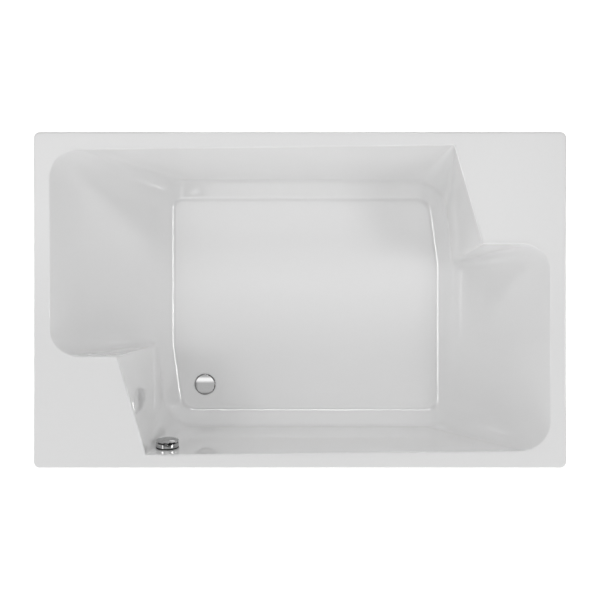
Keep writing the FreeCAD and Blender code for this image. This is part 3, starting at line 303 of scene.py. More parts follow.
# Polyester resin with chopped glass strands, sprayed and rolled: milky, with short fibres in every direction.
def sprayed_laminate():
    made, tree, place = blank("glass_fibre_laminate_sprayed")
    warp = add(tree, "ShaderNodeTexNoise", {"Vector": place, "Scale": per_metre(40), "Detail": 2.0})
    bent = add(tree, "ShaderNodeMix", {"Factor": 0.03, "A": place, "B": warp.outputs["Color"]},
               data_type="VECTOR")
    fibres = []
    for turn in (0.3, 1.2, 2.2):
        lay = add(tree, "ShaderNodeMapping", {"Vector": bent.outputs["Result"],
                  "Rotation": (turn, turn / 2, turn), "Scale": (1.0, 0.12, 0.5)})
        fibre = add(tree, "ShaderNodeTexNoise", {"Vector": lay.outputs["Vector"], "Scale": per_metre(3.5),
                    "Detail": 3.0})
        fibres.append(fibre.outputs["Fac"])
    pair = add(tree, "ShaderNodeMath", {0: fibres[0], 1: fibres[1]}, operation="MAXIMUM")
    strands = add(tree, "ShaderNodeMath", {0: pair.outputs["Value"], 1: fibres[2]}, operation="MAXIMUM")
    spread = add(tree, "ShaderNodeMapRange", {"Value": strands.outputs["Value"], "From Min": 0.5,
                 "From Max": 0.75})
    colour = add(tree, "ShaderNodeMix", {"Factor": spread.outputs["Result"], "A": linear("#c9c4ae"),
                 "B": linear("#efeee6")}, data_type="RGBA")
    rough = add(tree, "ShaderNodeMapRange", {"Value": warp.outputs["Fac"], "To Min": 0.3, "To Max": 0.55})
    bump = add(tree, "ShaderNodeBump", {"Height": strands.outputs["Value"], "Strength": 0.6,
               "Distance": 0.0012})
    surface(tree, Base_Color=colour.outputs["Result"], Roughness=rough.outputs["Result"], IOR=1.54,
            Normal=bump.outputs["Normal"])
    return made


# Pressed wood particles: pale and dark flakes at random under a sanded, dull face.
def pressed_chipboard():
    made, tree, place = blank("chipboard_pressed_sanded")
    lay = add(tree, "ShaderNodeMapping", {"Vector": place, "Scale": (0.5, 1.0, 2.5)})
    flakes = add(tree, "ShaderNodeTexVoronoi", {"Vector": lay.outputs["Vector"], "Scale": per_metre(4)})
    tint = add(tree, "ShaderNodeMix", {"Factor": flakes.outputs["Color"], "A": linear("#8f6b42"),
               "B": linear("#cfae7c")}, data_type="RGBA")
    dust = add(tree, "ShaderNodeTexNoise", {"Vector": place, "Scale": per_metre(1.2), "Detail": 3.0})
    colour = add(tree, "ShaderNodeMix", {"Factor": dust.outputs["Fac"], "A": tint.outputs["Result"],
                 "B": linear("#b8935f")}, data_type="RGBA")
    rough = add(tree, "ShaderNodeMapRange", {"Value": dust.outputs["Fac"], "To Min": 0.7, "To Max": 0.95})
    bump = add(tree, "ShaderNodeBump", {"Height": flakes.outputs["Distance"], "Strength": 0.4,
               "Distance": 0.0006})
    surface(tree, Base_Color=colour.outputs["Result"], Roughness=rough.outputs["Result"], IOR=1.5,
            Normal=bump.outputs["Normal"])
    return made


# Sawn spruce: pale wood with darker late-wood lines along its length and a fuzzy saw finish.
def sawn_spruce():
    made, tree, place = blank("spruce_sawn")
    lay = add(tree, "ShaderNodeMapping", {"Vector": place, "Scale": (0.06, 0.06, 1.0)})
    waver = add(tree, "ShaderNodeTexNoise", {"Vector": lay.outputs["Vector"], "Scale": per_metre(6),
                "Detail": 4.0})
    rings = add(tree, "ShaderNodeTexWave", {"Vector": lay.outputs["Vector"], "Scale": per_metre(22),
                "Distortion": 5.0, "Detail": 2.0}, bands_direction="Z")
    late = add(tree, "ShaderNodeMath", {0: rings.outputs["Fac"], 1: waver.outputs["Fac"]},
               operation="MULTIPLY")
    colour = add(tree, "ShaderNodeMix", {"Factor": late.outputs["Value"], "A": linear("#e0c595"),
                 "B": linear("#a97b45")}, data_type="RGBA")
    rough = add(tree, "ShaderNodeMapRange", {"Value": waver.outputs["Fac"], "To Min": 0.65, "To Max": 0.9})
    bump = add(tree, "ShaderNodeBump", {"Height": waver.outputs["Fac"], "Strength": 0.4, "Distance": 0.0005})
    surface(tree, Base_Color=colour.outputs["Result"], Roughness=rough.outputs["Result"], IOR=1.5,
            Normal=bump.outputs["Normal"])
    return made


# Steel sheet dipped in zinc: grey spangles whose gloss changes from crystal to crystal.
def dipped_zinc():
    made, tree, place = blank("steel_hot_dip_galvanised")
    spangle = add(tree, "ShaderNodeTexVoronoi", {"Vector": place, "Scale": per_metre(11)})
    bloom = add(tree, "ShaderNodeTexNoise", {"Vector": place, "Scale": per_metre(2), "Detail": 3.0})
    crystal = add(tree, "ShaderNodeSeparateColor", {"Color": spangle.outputs["Color"]})
    colour = add(tree, "ShaderNodeMix", {"Factor": crystal.outputs["Red"], "A": linear("#9aa0a4"),
                 "B": linear("#c8ccce")}, data_type="RGBA")
    rough = add(tree, "ShaderNodeMapRange", {"Value": crystal.outputs["Green"], "To Min": 0.28,
                "To Max": 0.5})
    bump = add(tree, "ShaderNodeBump", {"Height": bloom.outputs["Fac"], "Strength": 0.15, "Distance": 0.0003})
    surface(tree, Base_Color=colour.outputs["Result"], Metallic=1.0, Roughness=rough.outputs["Result"],
            Normal=bump.outputs["Normal"])
    return made


# Steel with a thin electroplated zinc coat: bright bluish grey, a little cloudy.
def plated_zinc():
    made, tree, place = blank("steel_zinc_plated")
    cloud = add(tree, "ShaderNodeTexNoise", {"Vector": place, "Scale": per_metre(5), "Detail": 3.0})
    colour = add(tree, "ShaderNodeMix", {"Factor": cloud.outputs["Fac"], "A": linear("#a9b0b5"),
                 "B": linear("#d2d5d3")}, data_type="RGBA")
    rough = add(tree, "ShaderNodeMapRange", {"Value": cloud.outputs["Fac"], "To Min": 0.22, "To Max": 0.4})
    surface(tree, Base_Color=colour.outputs["Result"], Metallic=1.0, Roughness=rough.outputs["Result"])
    return made


# Stainless steel, turned: fine marks left by the tool, with a soft grey shine.
def turned_stainless():
    made, tree, place = blank("stainless_steel_turned")
    marks = add(tree, "ShaderNodeTexNoise", {"Vector": place, "Scale": per_metre(0.8), "Detail": 2.0})
    colour = add(tree, "ShaderNodeMix", {"Factor": marks.outputs["Fac"], "A": linear("#b4b2ae"),
                 "B": linear("#cbc9c5")}, data_type="RGBA")
    rough = add(tree, "ShaderNodeMapRange", {"Value": marks.outputs["Fac"], "To Min": 0.2, "To Max": 0.34})
    surface(tree, Base_Color=colour.outputs["Result"], Metallic=1.0, Roughness=rough.outputs["Result"])
    return made


# Chromium over nickel: a cool mirror with hardly any haze where it is polished. Where it is satin it has soft
# edges to what it mirrors, and a greyer colour that is painted shade, so the overflow's knob and ring look
# darker.
def plated_chrome(name, shade, tint, roughness):
    made, tree, place = blank(name)
    haze = add(tree, "ShaderNodeTexNoise", {"Vector": place, "Scale": per_metre(12), "Detail": 2.0})
    colour = add(tree, "ShaderNodeMix", {"Factor": haze.outputs["Fac"], "A": linear(shade),
                 "B": linear(tint)}, data_type="RGBA")
    rough = add(tree, "ShaderNodeMapRange", {"Value": haze.outputs["Fac"],
                "To Min": roughness - CHROME_SPREAD, "To Max": roughness + CHROME_SPREAD})
    surface(tree, Base_Color=colour.outputs["Result"], Metallic=1.0, Roughness=rough.outputs["Result"])
    return made


# Brass, turned and left bare: warm yellow with slight dull patches.
def turned_brass():
    made, tree, place = blank("brass_turned")
    tarnish = add(tree, "ShaderNodeTexNoise", {"Vector": place, "Scale": per_metre(4), "Detail": 3.0})
    colour = add(tree, "ShaderNodeMix", {"Factor": tarnish.outputs["Fac"], "A": linear("#c8a558"),
                 "B": linear("#a98442")}, data_type="RGBA")
    rough = add(tree, "ShaderNodeMapRange", {"Value": tarnish.outputs["Fac"], "To Min": 0.2, "To Max": 0.42})
    surface(tree, Base_Color=colour.outputs["Result"], Metallic=1.0, Roughness=rough.outputs["Result"])
    return made


# Polypropylene or PVC, moulded or extruded: even colour with a fine matt grain.
def moulded_plastic(name, shade, tint, roughness):
    made, tree, place = blank(name)
    grain = add(tree, "ShaderNodeTexNoise", {"Vector": place, "Scale": per_metre(0.9), "Detail": 2.0})
    flow = add(tree, "ShaderNodeTexNoise", {"Vector": place, "Scale": per_metre(30), "Detail": 1.0})
    colour = add(tree, "ShaderNodeMix", {"Factor": flow.outputs["Fac"], "A": linear(shade),
                 "B": linear(tint)}, data_type="RGBA")
    rough = add(tree, "ShaderNodeMapRange", {"Value": flow.outputs["Fac"],
                "To Min": roughness - PLASTIC_SPREAD, "To Max": roughness + PLASTIC_SPREAD})
    bump = add(tree, "ShaderNodeBump", {"Height": grain.outputs["Fac"], "Strength": 0.25, "Distance": 0.0002})
    surface(tree, Base_Color=colour.outputs["Result"], Roughness=rough.outputs["Result"], IOR=1.49,
            Normal=bump.outputs["Normal"])
    return made


# EPDM rubber, moulded: black and dull, with a dusty bloom.
def moulded_rubber():
    made, tree, place = blank("epdm_rubber_moulded")
    bloom = add(tree, "ShaderNodeTexNoise", {"Vector": place, "Scale": per_metre(6), "Detail": 4.0})
    colour = add(tree, "ShaderNodeMix", {"Factor": bloom.outputs["Fac"], "A": linear("#141414"),
                 "B": linear("#2b2b2a")}, data_type="RGBA")
    rough = add(tree, "ShaderNodeMapRange", {"Value": bloom.outputs["Fac"], "To Min": 0.6, "To Max": 0.85})
    bump = add(tree, "ShaderNodeBump", {"Height": bloom.outputs["Fac"], "Strength": 0.2, "Distance": 0.0002})
    surface(tree, Base_Color=colour.outputs["Result"], Roughness=rough.outputs["Result"], IOR=1.52,
            Normal=bump.outputs["Normal"])
    return made


# Painted board under and behind the tub: plain matt white, and where it is lit from below, as white as paper.
def pale_board(name, glow):
    made, tree, place = blank(name)
    roller = add(tree, "ShaderNodeTexNoise", {"Vector": place, "Scale": per_metre(8), "Detail": 3.0})
    colour = add(tree, "ShaderNodeMix", {"Factor": roller.outputs["Fac"], "A": linear("#f3f3f3"),
                 "B": linear("#fafafa")}, data_type="RGBA")
    bump = add(tree, "ShaderNodeBump", {"Height": roller.outputs["Fac"], "Strength": 0.1, "Distance": 0.0003})
    surface(tree, Base_Color=colour.outputs["Result"], Roughness=0.7, Normal=bump.outputs["Normal"],
            Emission_Color=linear("#ffffff"), Emission_Strength=glow)
    return made


# One finish for each record slot, and the overflow's satin with painted shade, which is chrome in the record
FINISHES = {
    "acrylic": drawn_acrylic(),
    "laminate": sprayed_laminate(),
    "chipboard": pressed_chipboard(),
    "batten_wood": sawn_spruce(),
    "galvanised_steel": dipped_zinc(),
    "zinc_steel": plated_zinc(),
    "stainless_steel": turned_stainless(),
    "chrome": plated_chrome("chrome_plated_polished", "#d5d5d5", "#dadada", 0.05),
    # Satin: rougher chrome, and its darker colour is painted shade on the overflow's knob and ring
    "painted_dark_satin_chrome": plated_chrome("chrome_plated_satin_painted_dark", "#b0b0b0", "#b6b6b6", 0.14),
    "stem_brass": turned_brass(),
    "black_plastic": moulded_plastic("polypropylene_black_moulded", "#1b1c1d", "#242526", 0.45),
    "seal_rubber": moulded_rubber(),
    "waste_plastic": moulded_plastic("polypropylene_white_moulded", "#d6d7d5", "#e2e3e1", 0.4),
    "nut_plastic": moulded_plastic("polypropylene_grey_moulded", "#8b8f92", "#989c9f", 0.42),
    "cable_sheath": moulded_plastic("pvc_sheath_extruded", "#2c2d2f", "#37383a", 0.5),
}


def rounded(points, setbacks, steps):
    """Open path with each inner corner rounded from its setback; a setback of nothing keeps the point."""
    path = [points[0]]
    for i in range(1, len(points) - 1):
        if not setbacks[i]:
            path.append(points[i])
            continue
        before = (points[i] - points[i - 1]).normalized()
        after = (points[i + 1] - points[i]).normalized()
        # This handle makes the curve nearly an arc of a circle.
        handle = setbacks[i] * (1 - math.tan(before.angle(after) / 4) ** 2) * 2 / 3
        entry = points[i] - before * setbacks[i]
        leave = points[i] + after * setbacks[i]
        path += interpolate_bezier(entry, entry + before * handle, leave - after * handle, leave, steps + 1)
    return path + [points[-1]]


def arc_setback(radius, a, b, c):
    """How far before the corner b, on the way from a to c, a round of that radius starts."""
    return radius * math.tan((b - a).angle(c - b) / 2)


def headings(corners, i):
    """Directions of the sides before and after a corner of a closed outline."""
    here = Vector(corners[i])
    before = (here - Vector(corners[i - 1])).normalized()
    after = (Vector(corners[(i + 1) % len(corners)]) - here).normalized()
    return before, after


def level(half, setbacks, z, share):
    """Whole outline at a height from half of it, moved by a share of the floor's shift."""
    shift = FLOOR_SHIFT * share
    corners = [Vector(corner) + shift for corner in half] + [shift - Vector(corner) for corner in half]
    return corners, setbacks * 2, z


def between(a, b, share):
    """Outline on the straight line through two outlines."""
    corners = [p.lerp(q, share) for p, q in zip(a[0], b[0])]
    setbacks = [p + (q - p) * share for p, q in zip(a[1], b[1])]
    return corners, setbacks, a[2] + (b[2] - a[2]) * share


def grown(flat, distance):
    """Outline moved outwards by a distance, or inwards by a negative one."""
    corners, setbacks, z = flat
    out_corners = []
    out_setbacks = []
    for i, corner in enumerate(corners):
        before, after = headings(corners, i)
        out = Vector((before.y + after.y, -before.x - after.x))
        turn = math.atan2(before.cross(after), before.dot(after))
        out_corners.append(corner + out * (distance / (1 + before.dot(after))))
        out_setbacks.append(max(setbacks[i] + distance * math.tan(turn / 2), LEAST_SETBACK))
    return out_corners, out_setbacks, z


def outline(flat, side_steps):
    """Points round an outline, as many for each corner and each side."""
    corners, setbacks, z = flat
    bends = []
    for i, corner in enumerate(corners):
        before, after = (Vector((*side, 0.0)) for side in headings(corners, i))
        here = Vector((*corner, z))
        ends = [here - before * setbacks[i], here, here + after * setbacks[i]]
        bends.append(rounded(ends, [0, setbacks[i], 0], CORNER_STEPS)[1:-1])
    points = []
    for bend, following in zip(bends, bends[1:] + bends[:1]):
        points += bend
        points += [bend[-1].lerp(following[0], step / side_steps) for step in range(1, side_steps)]
    return points


def mesh_object(name, bm):
    """Object from a bmesh in millimetres."""
    bm.normal_update()
    mesh = bpy.data.meshes.new(name)
    bm.to_mesh(mesh)
    bm.free()
    mesh.transform(Matrix.Scale(MM, 4))
    made = bpy.data.objects.new(name, mesh)
    bpy.context.scene.collection.objects.link(made)
    return made


def settle(piece, sharp):
    """Turns the piece's modifiers into mesh, smooth but for edges sharper than an angle in degrees."""
    bpy.context.view_layer.update()
    mesh = bpy.data.meshes.new_from_object(piece.evaluated_get(bpy.context.evaluated_depsgraph_get()))
    piece.modifiers.clear()
    piece.data = mesh
    mesh.shade_smooth()
    mesh.set_sharp_from_angle(angle=math.radians(sharp))


def fit(piece, body, finish, *nodes):
    """Finishes a piece, and puts it on its body in place of the plain solids."""
    piece.data.materials.clear()
    piece.data.materials.append(FINISHES[finish])
    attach(piece, body)
    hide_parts(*nodes)


def skin(bm, loops):
    """Quads between closed loops of points; gives back the first and the last loop of vertices."""
    rows = [[bm.verts.new(point) for point in loop] for loop in loops]
    for low, high in zip(rows, rows[1:]):
        for k in range(len(low)):
            following = (k + 1) % len(low)
            bm.faces.new((low[k], low[following], high[following], high[k]))
    return rows[0], rows[-1]


def fill_flat(bm, outer, inner):
    """Level triangles between two loops of vertices, facing up."""
    edges = []
    for loop in (outer, inner):
        for k in range(len(loop)):
            edges.append(bm.edges.get((loop[k - 1], loop[k])))
    made = bmesh.ops.triangle_fill(bm, edges=edges, use_beauty=True)["geom"]
    faces = [face for face in made if isinstance(face, bmesh.types.BMFace)]
    for face in faces:
        face.normal_update()
        if face.normal.z < 0:
            face.normal_flip()


def basin_ribs():
    """Loops of the basin from the deck over the rounded edge, down the wall and the cove to the floor."""
    whole = [*WALL_TOP_CORNERS, *[(-x, -y) for x, y in WALL_TOP_CORNERS]]
    top_setbacks = []
    for i, radius in enumerate(WALL_TOP_RADII):
        before, after = headings(whole, i)
        top_setbacks.append(radius * math.tan(before.angle(after) / 2))
    wall_top = level(WALL_TOP_CORNERS, top_setbacks, WALL_TOP_Z, 0.0)
    knee = level(KNEE_CORNERS, KNEE_SETBACKS, KNEE_Z, (RIM_Z - KNEE_Z) / (RIM_Z - FLOOR_Z))
    floor = level(FLOOR_CORNERS, FLOOR_SETBACKS, FLOOR_Z, 1.0)
    crest = between(knee, wall_top, (RIM_Z - KNEE_Z) / (WALL_TOP_Z - KNEE_Z))
    stations = [grown(crest, DECK_BORDER), crest]
    stations += [between(crest, knee, step / WALL_STEPS) for step in range(1, WALL_STEPS)]
    stations += [knee]
    stations += [between(knee, floor, step / COVE_STEPS) for step in range(1, COVE_STEPS)]
    stations += [floor, grown(floor, -FLOOR_BORDER)]
    loops = [outline(station, SIDE_STEPS) for station in stations]
    knee_place = 1 + WALL_STEPS
    floor_place = knee_place + COVE_STEPS
    ribs = []
    for points in zip(*loops):
        setbacks = [0.0] * len(points)
        setbacks[1] = arc_setback(OPENING_EDGE_RADIUS, *points[0:3])
        setbacks[knee_place] = KNEE_SETBACK
        setbacks[floor_place] = arc_setback(FLOOR_EDGE_RADIUS, *points[floor_place - 1:floor_place + 2])
        ribs.append(rounded(points, setbacks, ROUND_STEPS))
    return list(zip(*ribs))


def rim_loop(inset, z):
    """Rounded rectangle of the rim, drawn in from its outside."""
    x = RIM_LENGTH / 2 - inset
    y = RIM_WIDTH / 2 - inset
    corners = [Vector(corner) for corner in ((x, -y), (x, y), (-x, y), (-x, -y))]
    return outline((corners, [max(RIM_CORNER_RADIUS - inset, LEAST_SETBACK)] * 4, z), RIM_SIDE_STEPS)


def drain_loop(radius, z):
    """Circle round the middle of the drain."""
    return [Vector((DRAIN.x + radius * math.cos(turn), DRAIN.y + radius * math.sin(turn), z))
            for turn in even_turns(RECESS_STEPS)]


def tub_shell():
    """Rim, walls, floor and drain recess of one drawn sheet, with the hole for the overflow."""
    bm = bmesh.new()
    quarter = [math.pi / 2 * step / ROUND_STEPS for step in range(ROUND_STEPS + 1)]
    outside = [rim_loop(0.0, SKIRT_Z), rim_loop(0.0, (SKIRT_Z + RIM_Z) / 2)]
    for turn in quarter:
        outside.append(rim_loop(RIM_EDGE_RADIUS * (1 - math.cos(turn)),
                                RIM_Z - RIM_EDGE_RADIUS * (1 - math.sin(turn))))
    outside.append(rim_loop(RIM_BORDER, RIM_Z))
    rim_edge = skin(bm, outside)[1]
    deck_edge, floor_edge = skin(bm, basin_ribs())
    recess = [drain_loop(RECESS_RADIUS + RECESS_BORDER, FLOOR_Z)]
    for turn in quarter:
        recess.append(drain_loop(RECESS_RADIUS + RECESS_LIP_RADIUS * (1 - math.sin(turn)),
                                 FLOOR_Z - RECESS_LIP_RADIUS * (1 - math.cos(turn))))
    recess += [drain_loop(RECESS_RADIUS, RECESS_Z), drain_loop(WASTE_HOLE_RADIUS, RECESS_Z)]
    recess_edge = skin(bm, recess)[0]
    fill_flat(bm, rim_edge, deck_edge)
    fill_flat(bm, floor_edge, recess_edge)
    shell = mesh_object("acrylic_shell", bm)
    thick = shell.modifiers.new("sheet", "SOLIDIFY")
    thick.thickness = SHEET * MM
    thick.offset = -1.0
    thick.use_even_offset = True
    bore = [(0.0, -DRILL), (WASTE_HOLE_RADIUS, -DRILL), (WASTE_HOLE_RADIUS, DRILL), (0.0, DRILL)]
    drill = turned("overflow_drill", lambda turn: bore, even_turns(DRILL_TURNS))
    drill.data.transform(overflow_place())
    hole = shell.modifiers.new("overflow_hole", "BOOLEAN")
    hole.operation = "DIFFERENCE"
    hole.object = drill
    settle(shell, SHARP_SHELL)
    bpy.data.objects.remove(drill)
    fit(shell, "tub", "acrylic", "tub_shell")


def turned(name, profile, turns):
    """Solid round the z axis; profile(turn) gives its (radius, height) points, axis to axis or in a loop."""
    bm = bmesh.new()
    columns = [profile(turn) for turn in turns]
    rows = []
    for i, (radius, height) in enumerate(columns[0]):
        if radius < SMALLEST:
            rows.append([bm.verts.new((0.0, 0.0, height))] * len(turns))
            continue
        row = []
        for turn, column in zip(turns, columns):
            radius, height = column[i]
            row.append(bm.verts.new((radius * math.cos(turn), radius * math.sin(turn), height)))
        rows.append(row)
    if columns[0][0][0] > SMALLEST:
        rows.append(rows[0])
    for low, high in zip(rows, rows[1:]):
        for k in range(len(turns)):
            following = (k + 1) % len(turns)
            corners = dict.fromkeys((low[k], low[following], high[following], high[k]))
            if len(corners) > 2:
                bm.faces.new(corners)
    bmesh.ops.recalc_face_normals(bm, faces=bm.faces)
    return mesh_object(name, bm)


def even_turns(count):
    """Angles evenly round the axis."""
    return [2 * math.pi * k / count for k in range(count)]


def soft_profile(points, radius):
    """Profile whose inner corners are rounded."""
    path = [Vector((r, z, 0.0)) for r, z in points]
    setbacks = [0.0]
    for a, b, c in zip(path, path[1:], path[2:]):
        room = min((b - a).length, (c - b).length) * SOFT_SHARE
        setbacks.append(min(arc_setback(radius, a, b, c), room))
    return [(point.x, point.y) for point in rounded(path, setbacks + [0.0], ROUND_STEPS)]


def bowl(reach, depth):
    """Profile of a shallow dome, from its top on the axis out to its edge."""
    bow = (reach ** 2 + depth ** 2) / (2 * depth)
    radii = [reach * step / BOWL_STEPS for step in range(BOWL_STEPS + 1)]
    return [(radius, math.sqrt(bow ** 2 - radius ** 2) - bow) for radius in radii]


def overflow_place():
    """Frame of the overflow: origin on the wall, z along the knob's axis into the basin, y up the wall."""
    joint = next(j for j in RECORD["behaviour"]["joints"] if j["name"] == "knob_turn")
    axis = Vector(joint["axis"]).normalized()
    across = Vector((0, 0, 1)).cross(axis).normalized()
    turn = Matrix((across, axis.cross(across), axis)).transposed().to_4x4()
    return Matrix.Translation(Vector(joint["pos_m"])) @ turn


def copies(piece, places):
    """The piece repeated at each (x, y) place, in one mesh."""
    bm = bmesh.new()
    for place in places:
        start = len(bm.verts)
        bm.from_mesh(piece.data)
        bm.verts.ensure_lookup_table()
        bmesh.ops.translate(bm, verts=bm.verts[start:], vec=Vector((*place, 0.0)) * MM)
    bm.to_mesh(piece.data)
    bm.free()
    return piece


def drain_flange():
    """Ring with a dished edge round the plug's seat, on a tail with a three-armed guide for the stem."""
    side = [(DRAIN_BORE_RADIUS, DRAIN_TAIL_Z), (DRAIN_BORE_RADIUS, DRAIN_FLANGE_TOP),
            (FLANGE_SEAT_RADIUS, DRAIN_FLANGE_TOP), (FLANGE_DISH_RADIUS, FLANGE_DISH_Z),
            (DRAIN_FLANGE_RADIUS - FLANGE_EDGE, DRAIN_FLANGE_TOP),
            (DRAIN_FLANGE_RADIUS, DRAIN_FLANGE_TOP - FLANGE_EDGE), (DRAIN_FLANGE_RADIUS, DRAIN_FLANGE_Z),
            (DRAIN_TAIL_RADIUS, DRAIN_FLANGE_Z), (DRAIN_TAIL_RADIUS, DRAIN_TAIL_Z)]
    side = soft_profile(side, FLANGE_EDGE)

    def star(turn):
        half = math.pi / GUIDE_ARMS
        away = abs((turn - math.radians(GUIDE_ANGLE) + half) % (2 * half) - half)
        arm = min(GUIDE_ARM / 2 / max(math.sin(away), SMALLEST), DRAIN_BORE_RADIUS + GUIDE_BITE)
        reach = max(arm, GUIDE_RADIUS)
        return [(GUIDE_BORE, DRAIN_TAIL_Z), (reach, DRAIN_TAIL_Z), (reach, DRAIN_TAIL_Z + GUIDE_HEIGHT),
                (GUIDE_BORE, DRAIN_TAIL_Z + GUIDE_HEIGHT)]

    flange = turned("drain_flange_dished", lambda turn: side, even_turns(CHROME_TURNS))
    guide = turned("stem_guide", star, even_turns(GUIDE_TURNS))
    union = flange.modifiers.new("guide", "BOOLEAN")
    union.operation = "UNION"
    union.object = guide
    settle(flange, SHARP_CHROME)
    bpy.data.objects.remove(guide)
    flange.data.transform(Matrix.Translation(Vector((*DRAIN, 0.0)) * MM))
    fit(flange, "tub", "chrome", "drain_flange")


def plug_cap():
    """Slightly domed cap with a soft edge."""
    dome = [(radius, height + CAP_EDGE + CAP_CROWN) for radius, height in bowl(CAP_RADIUS, CAP_CROWN)]
    edge = soft_profile([dome[-2], dome[-1], (CAP_RADIUS, 0.0), (0.0, 0.0)], CAP_EDGE_RADIUS)
    cap = turned("plug_cap_domed", lambda turn: dome[:-2] + edge, even_turns(CHROME_TURNS))
    cap.data.transform(Matrix.Translation(Vector((*DRAIN, CAP_Z)) * MM))
    settle(cap, SHARP_CHROME)
    fit(cap, "plug", "chrome", "plug_cap")


def overflow_knob():
    """Round knob with a domed face, hollow behind, on a hub."""
    bow = (KNOB_RADIUS ** 2 + KNOB_CROWN ** 2) / (2 * KNOB_CROWN)
    inner = KNOB_RADIUS - ROSETTE_WALL

    def under(radius):
        """Height of the hollow's ceiling."""
        return KNOB_FACE - bow + math.sqrt((bow - KNOB_SKIN) ** 2 - radius ** 2)

    dome = [(radius, KNOB_FACE + height) for radius, height in bowl(KNOB_RADIUS, KNOB_CROWN)]
    side = soft_profile([dome[-2], dome[-1], (KNOB_RADIUS, KNOB_BACK), (inner, KNOB_BACK)], EDGE_RADIUS)
    radii = [inner + (HUB_RADIUS - inner) * step / CEILING_STEPS for step in range(CEILING_STEPS + 1)]
    ceiling = [(radius, under(radius)) for radius in radii]
    bore_end = KNOB_FACE - KNOB_SKIN
    hub = [(HUB_RADIUS, HUB_BACK), (KNOB_SPINDLE_RADIUS, HUB_BACK), (KNOB_SPINDLE_RADIUS, bore_end),
           (0.0, bore_end)]
    whole = dome[:-2] + side + ceiling + hub
    knob = turned("overflow_knob_domed", lambda turn: whole, even_turns(CHROME_TURNS))
    knob.data.transform(overflow_place())
    settle(knob, SHARP_CHROME)
    fit(knob, "knob", "painted_dark_satin_chrome", "overflow_knob")


def overflow_rosette():
    """Ring on the wall with webs on its front edge, which leave windows for the water."""
    inner = KNOB_RADIUS - ROSETTE_WALL
    crown = KNOB_RADIUS - EDGE_RADIUS - WEB_SET
    half_web = math.asin(WEB_WIDTH / 2 / crown)
    middles = [math.pi / 2 + 2 * math.pi * k / ROSETTE_WEBS for k in range(ROSETTE_WEBS)]
    turns = []
    for middle in middles:
        for edge in (-half_web, half_web):
            turns += [middle + edge - WEB_EDGE_TURN, middle + edge + WEB_EDGE_TURN]
        gap = 2 * math.pi / ROSETTE_WEBS - 2 * half_web
        turns += [middle + half_web + gap * step / WINDOW_STEPS for step in range(1, WINDOW_STEPS)]
        turns += [middle + half_web * step / WEB_STEPS for step in range(1 - WEB_STEPS, WEB_STEPS)]
    side = soft_profile([(inner, ROSETTE_BACK), (KNOB_RADIUS, ROSETTE_BACK), (KNOB_RADIUS, ROSETTE_FRONT),
                         (crown, ROSETTE_FRONT)], EDGE_RADIUS)

    def profile(turn):
        on_web = any(abs(turn - middle) < half_web for middle in middles)
        top = WEB_FRONT if on_web else ROSETTE_FRONT
        return side + [(crown - WEB_SET, top), (inner, top)]

    rosette = turned("overflow_rosette_windowed", profile, sorted(turns))
    rosette.data.transform(overflow_place())
    settle(rosette, SHARP_ROSETTE)
    fit(rosette, "tub", "painted_dark_satin_chrome", "overflow_rosette")


def hexagon_radius(flats, turn):
    """Distance from the axis to a hexagon's side at a turn."""
    return flats / 2 / math.cos((turn + math.pi / 6) % (math.pi / 3) - math.pi / 6)


def hex_nuts(name, node):
    """Chamfered hexagon nuts, one on each foot spindle."""
    low, high = (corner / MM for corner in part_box(node))
    chamfer_radius = NUT_FLATS / 2

    def profile(turn):
        wide = hexagon_radius(NUT_FLATS, turn)
        lean = (wide - chamfer_radius) * math.tan(math.radians(NUT_LEAN)) + NUT_EDGE
        face = chamfer_radius - NUT_EDGE
        mouth = NUT_BORE + NUT_BREAK
        return [(NUT_BORE, low.z + NUT_BREAK), (mouth, low.z), (face, low.z), (wide, low.z + lean),
                (wide, high.z - lean), (face, high.z), (mouth, high.z), (NUT_BORE, high.z - NUT_BREAK)]

    nuts = copies(turned(name, profile, even_turns(NUT_TURNS)), FOOT_PLACES)
    settle(nuts, SHARP_NUT)
    fit(nuts, "tub", "zinc_steel", node)


def foot_spindle(number, place):
    """Rolled thread with a spanner hexagon above the pad."""
    low, high = (corner.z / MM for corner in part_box(f"foot_spindle_{number}"))
    heights = [low + (high - low) * k / THREAD_ROWS for k in range(THREAD_ROWS + 1)]
    heights += [HEXAGON_Z + step for step in (-SMALLEST, 0.0, HEXAGON_EDGE)]
    heights += [HEXAGON_Z + HEXAGON_HEIGHT + step for step in (-HEXAGON_EDGE, 0.0, SMALLEST)]
    heights.sort()

    def radius(turn, z):
        if HEXAGON_Z <= z <= HEXAGON_Z + HEXAGON_HEIGHT:
            edge = min(z - HEXAGON_Z, HEXAGON_Z + HEXAGON_HEIGHT - z, HEXAGON_EDGE)
            return min(hexagon_radius(HEXAGON_FLATS, turn), HEXAGON_FLATS / 2 + edge)
        ridge = abs((z / THREAD_PITCH - turn / (2 * math.pi)) % 1.0 * 2 - 1)
        return min(SPINDLE_RADIUS - THREAD_DEPTH * ridge, SPINDLE_RADIUS - THREAD_DEPTH + high - z)

    def profile(turn):
        return [(0.0, low), *((radius(turn, z), z) for z in heights), (0.0, high)]

    spindle = turned(f"threaded_spindle_{number}", profile, even_turns(SPINDLE_TURNS))
    spindle.data.transform(Matrix.Translation(Vector((*place, 0.0)) * MM))
    settle(spindle, SHARP_THREAD)
    fit(spindle, f"foot_{number}", "zinc_steel", f"foot_spindle_{number}")


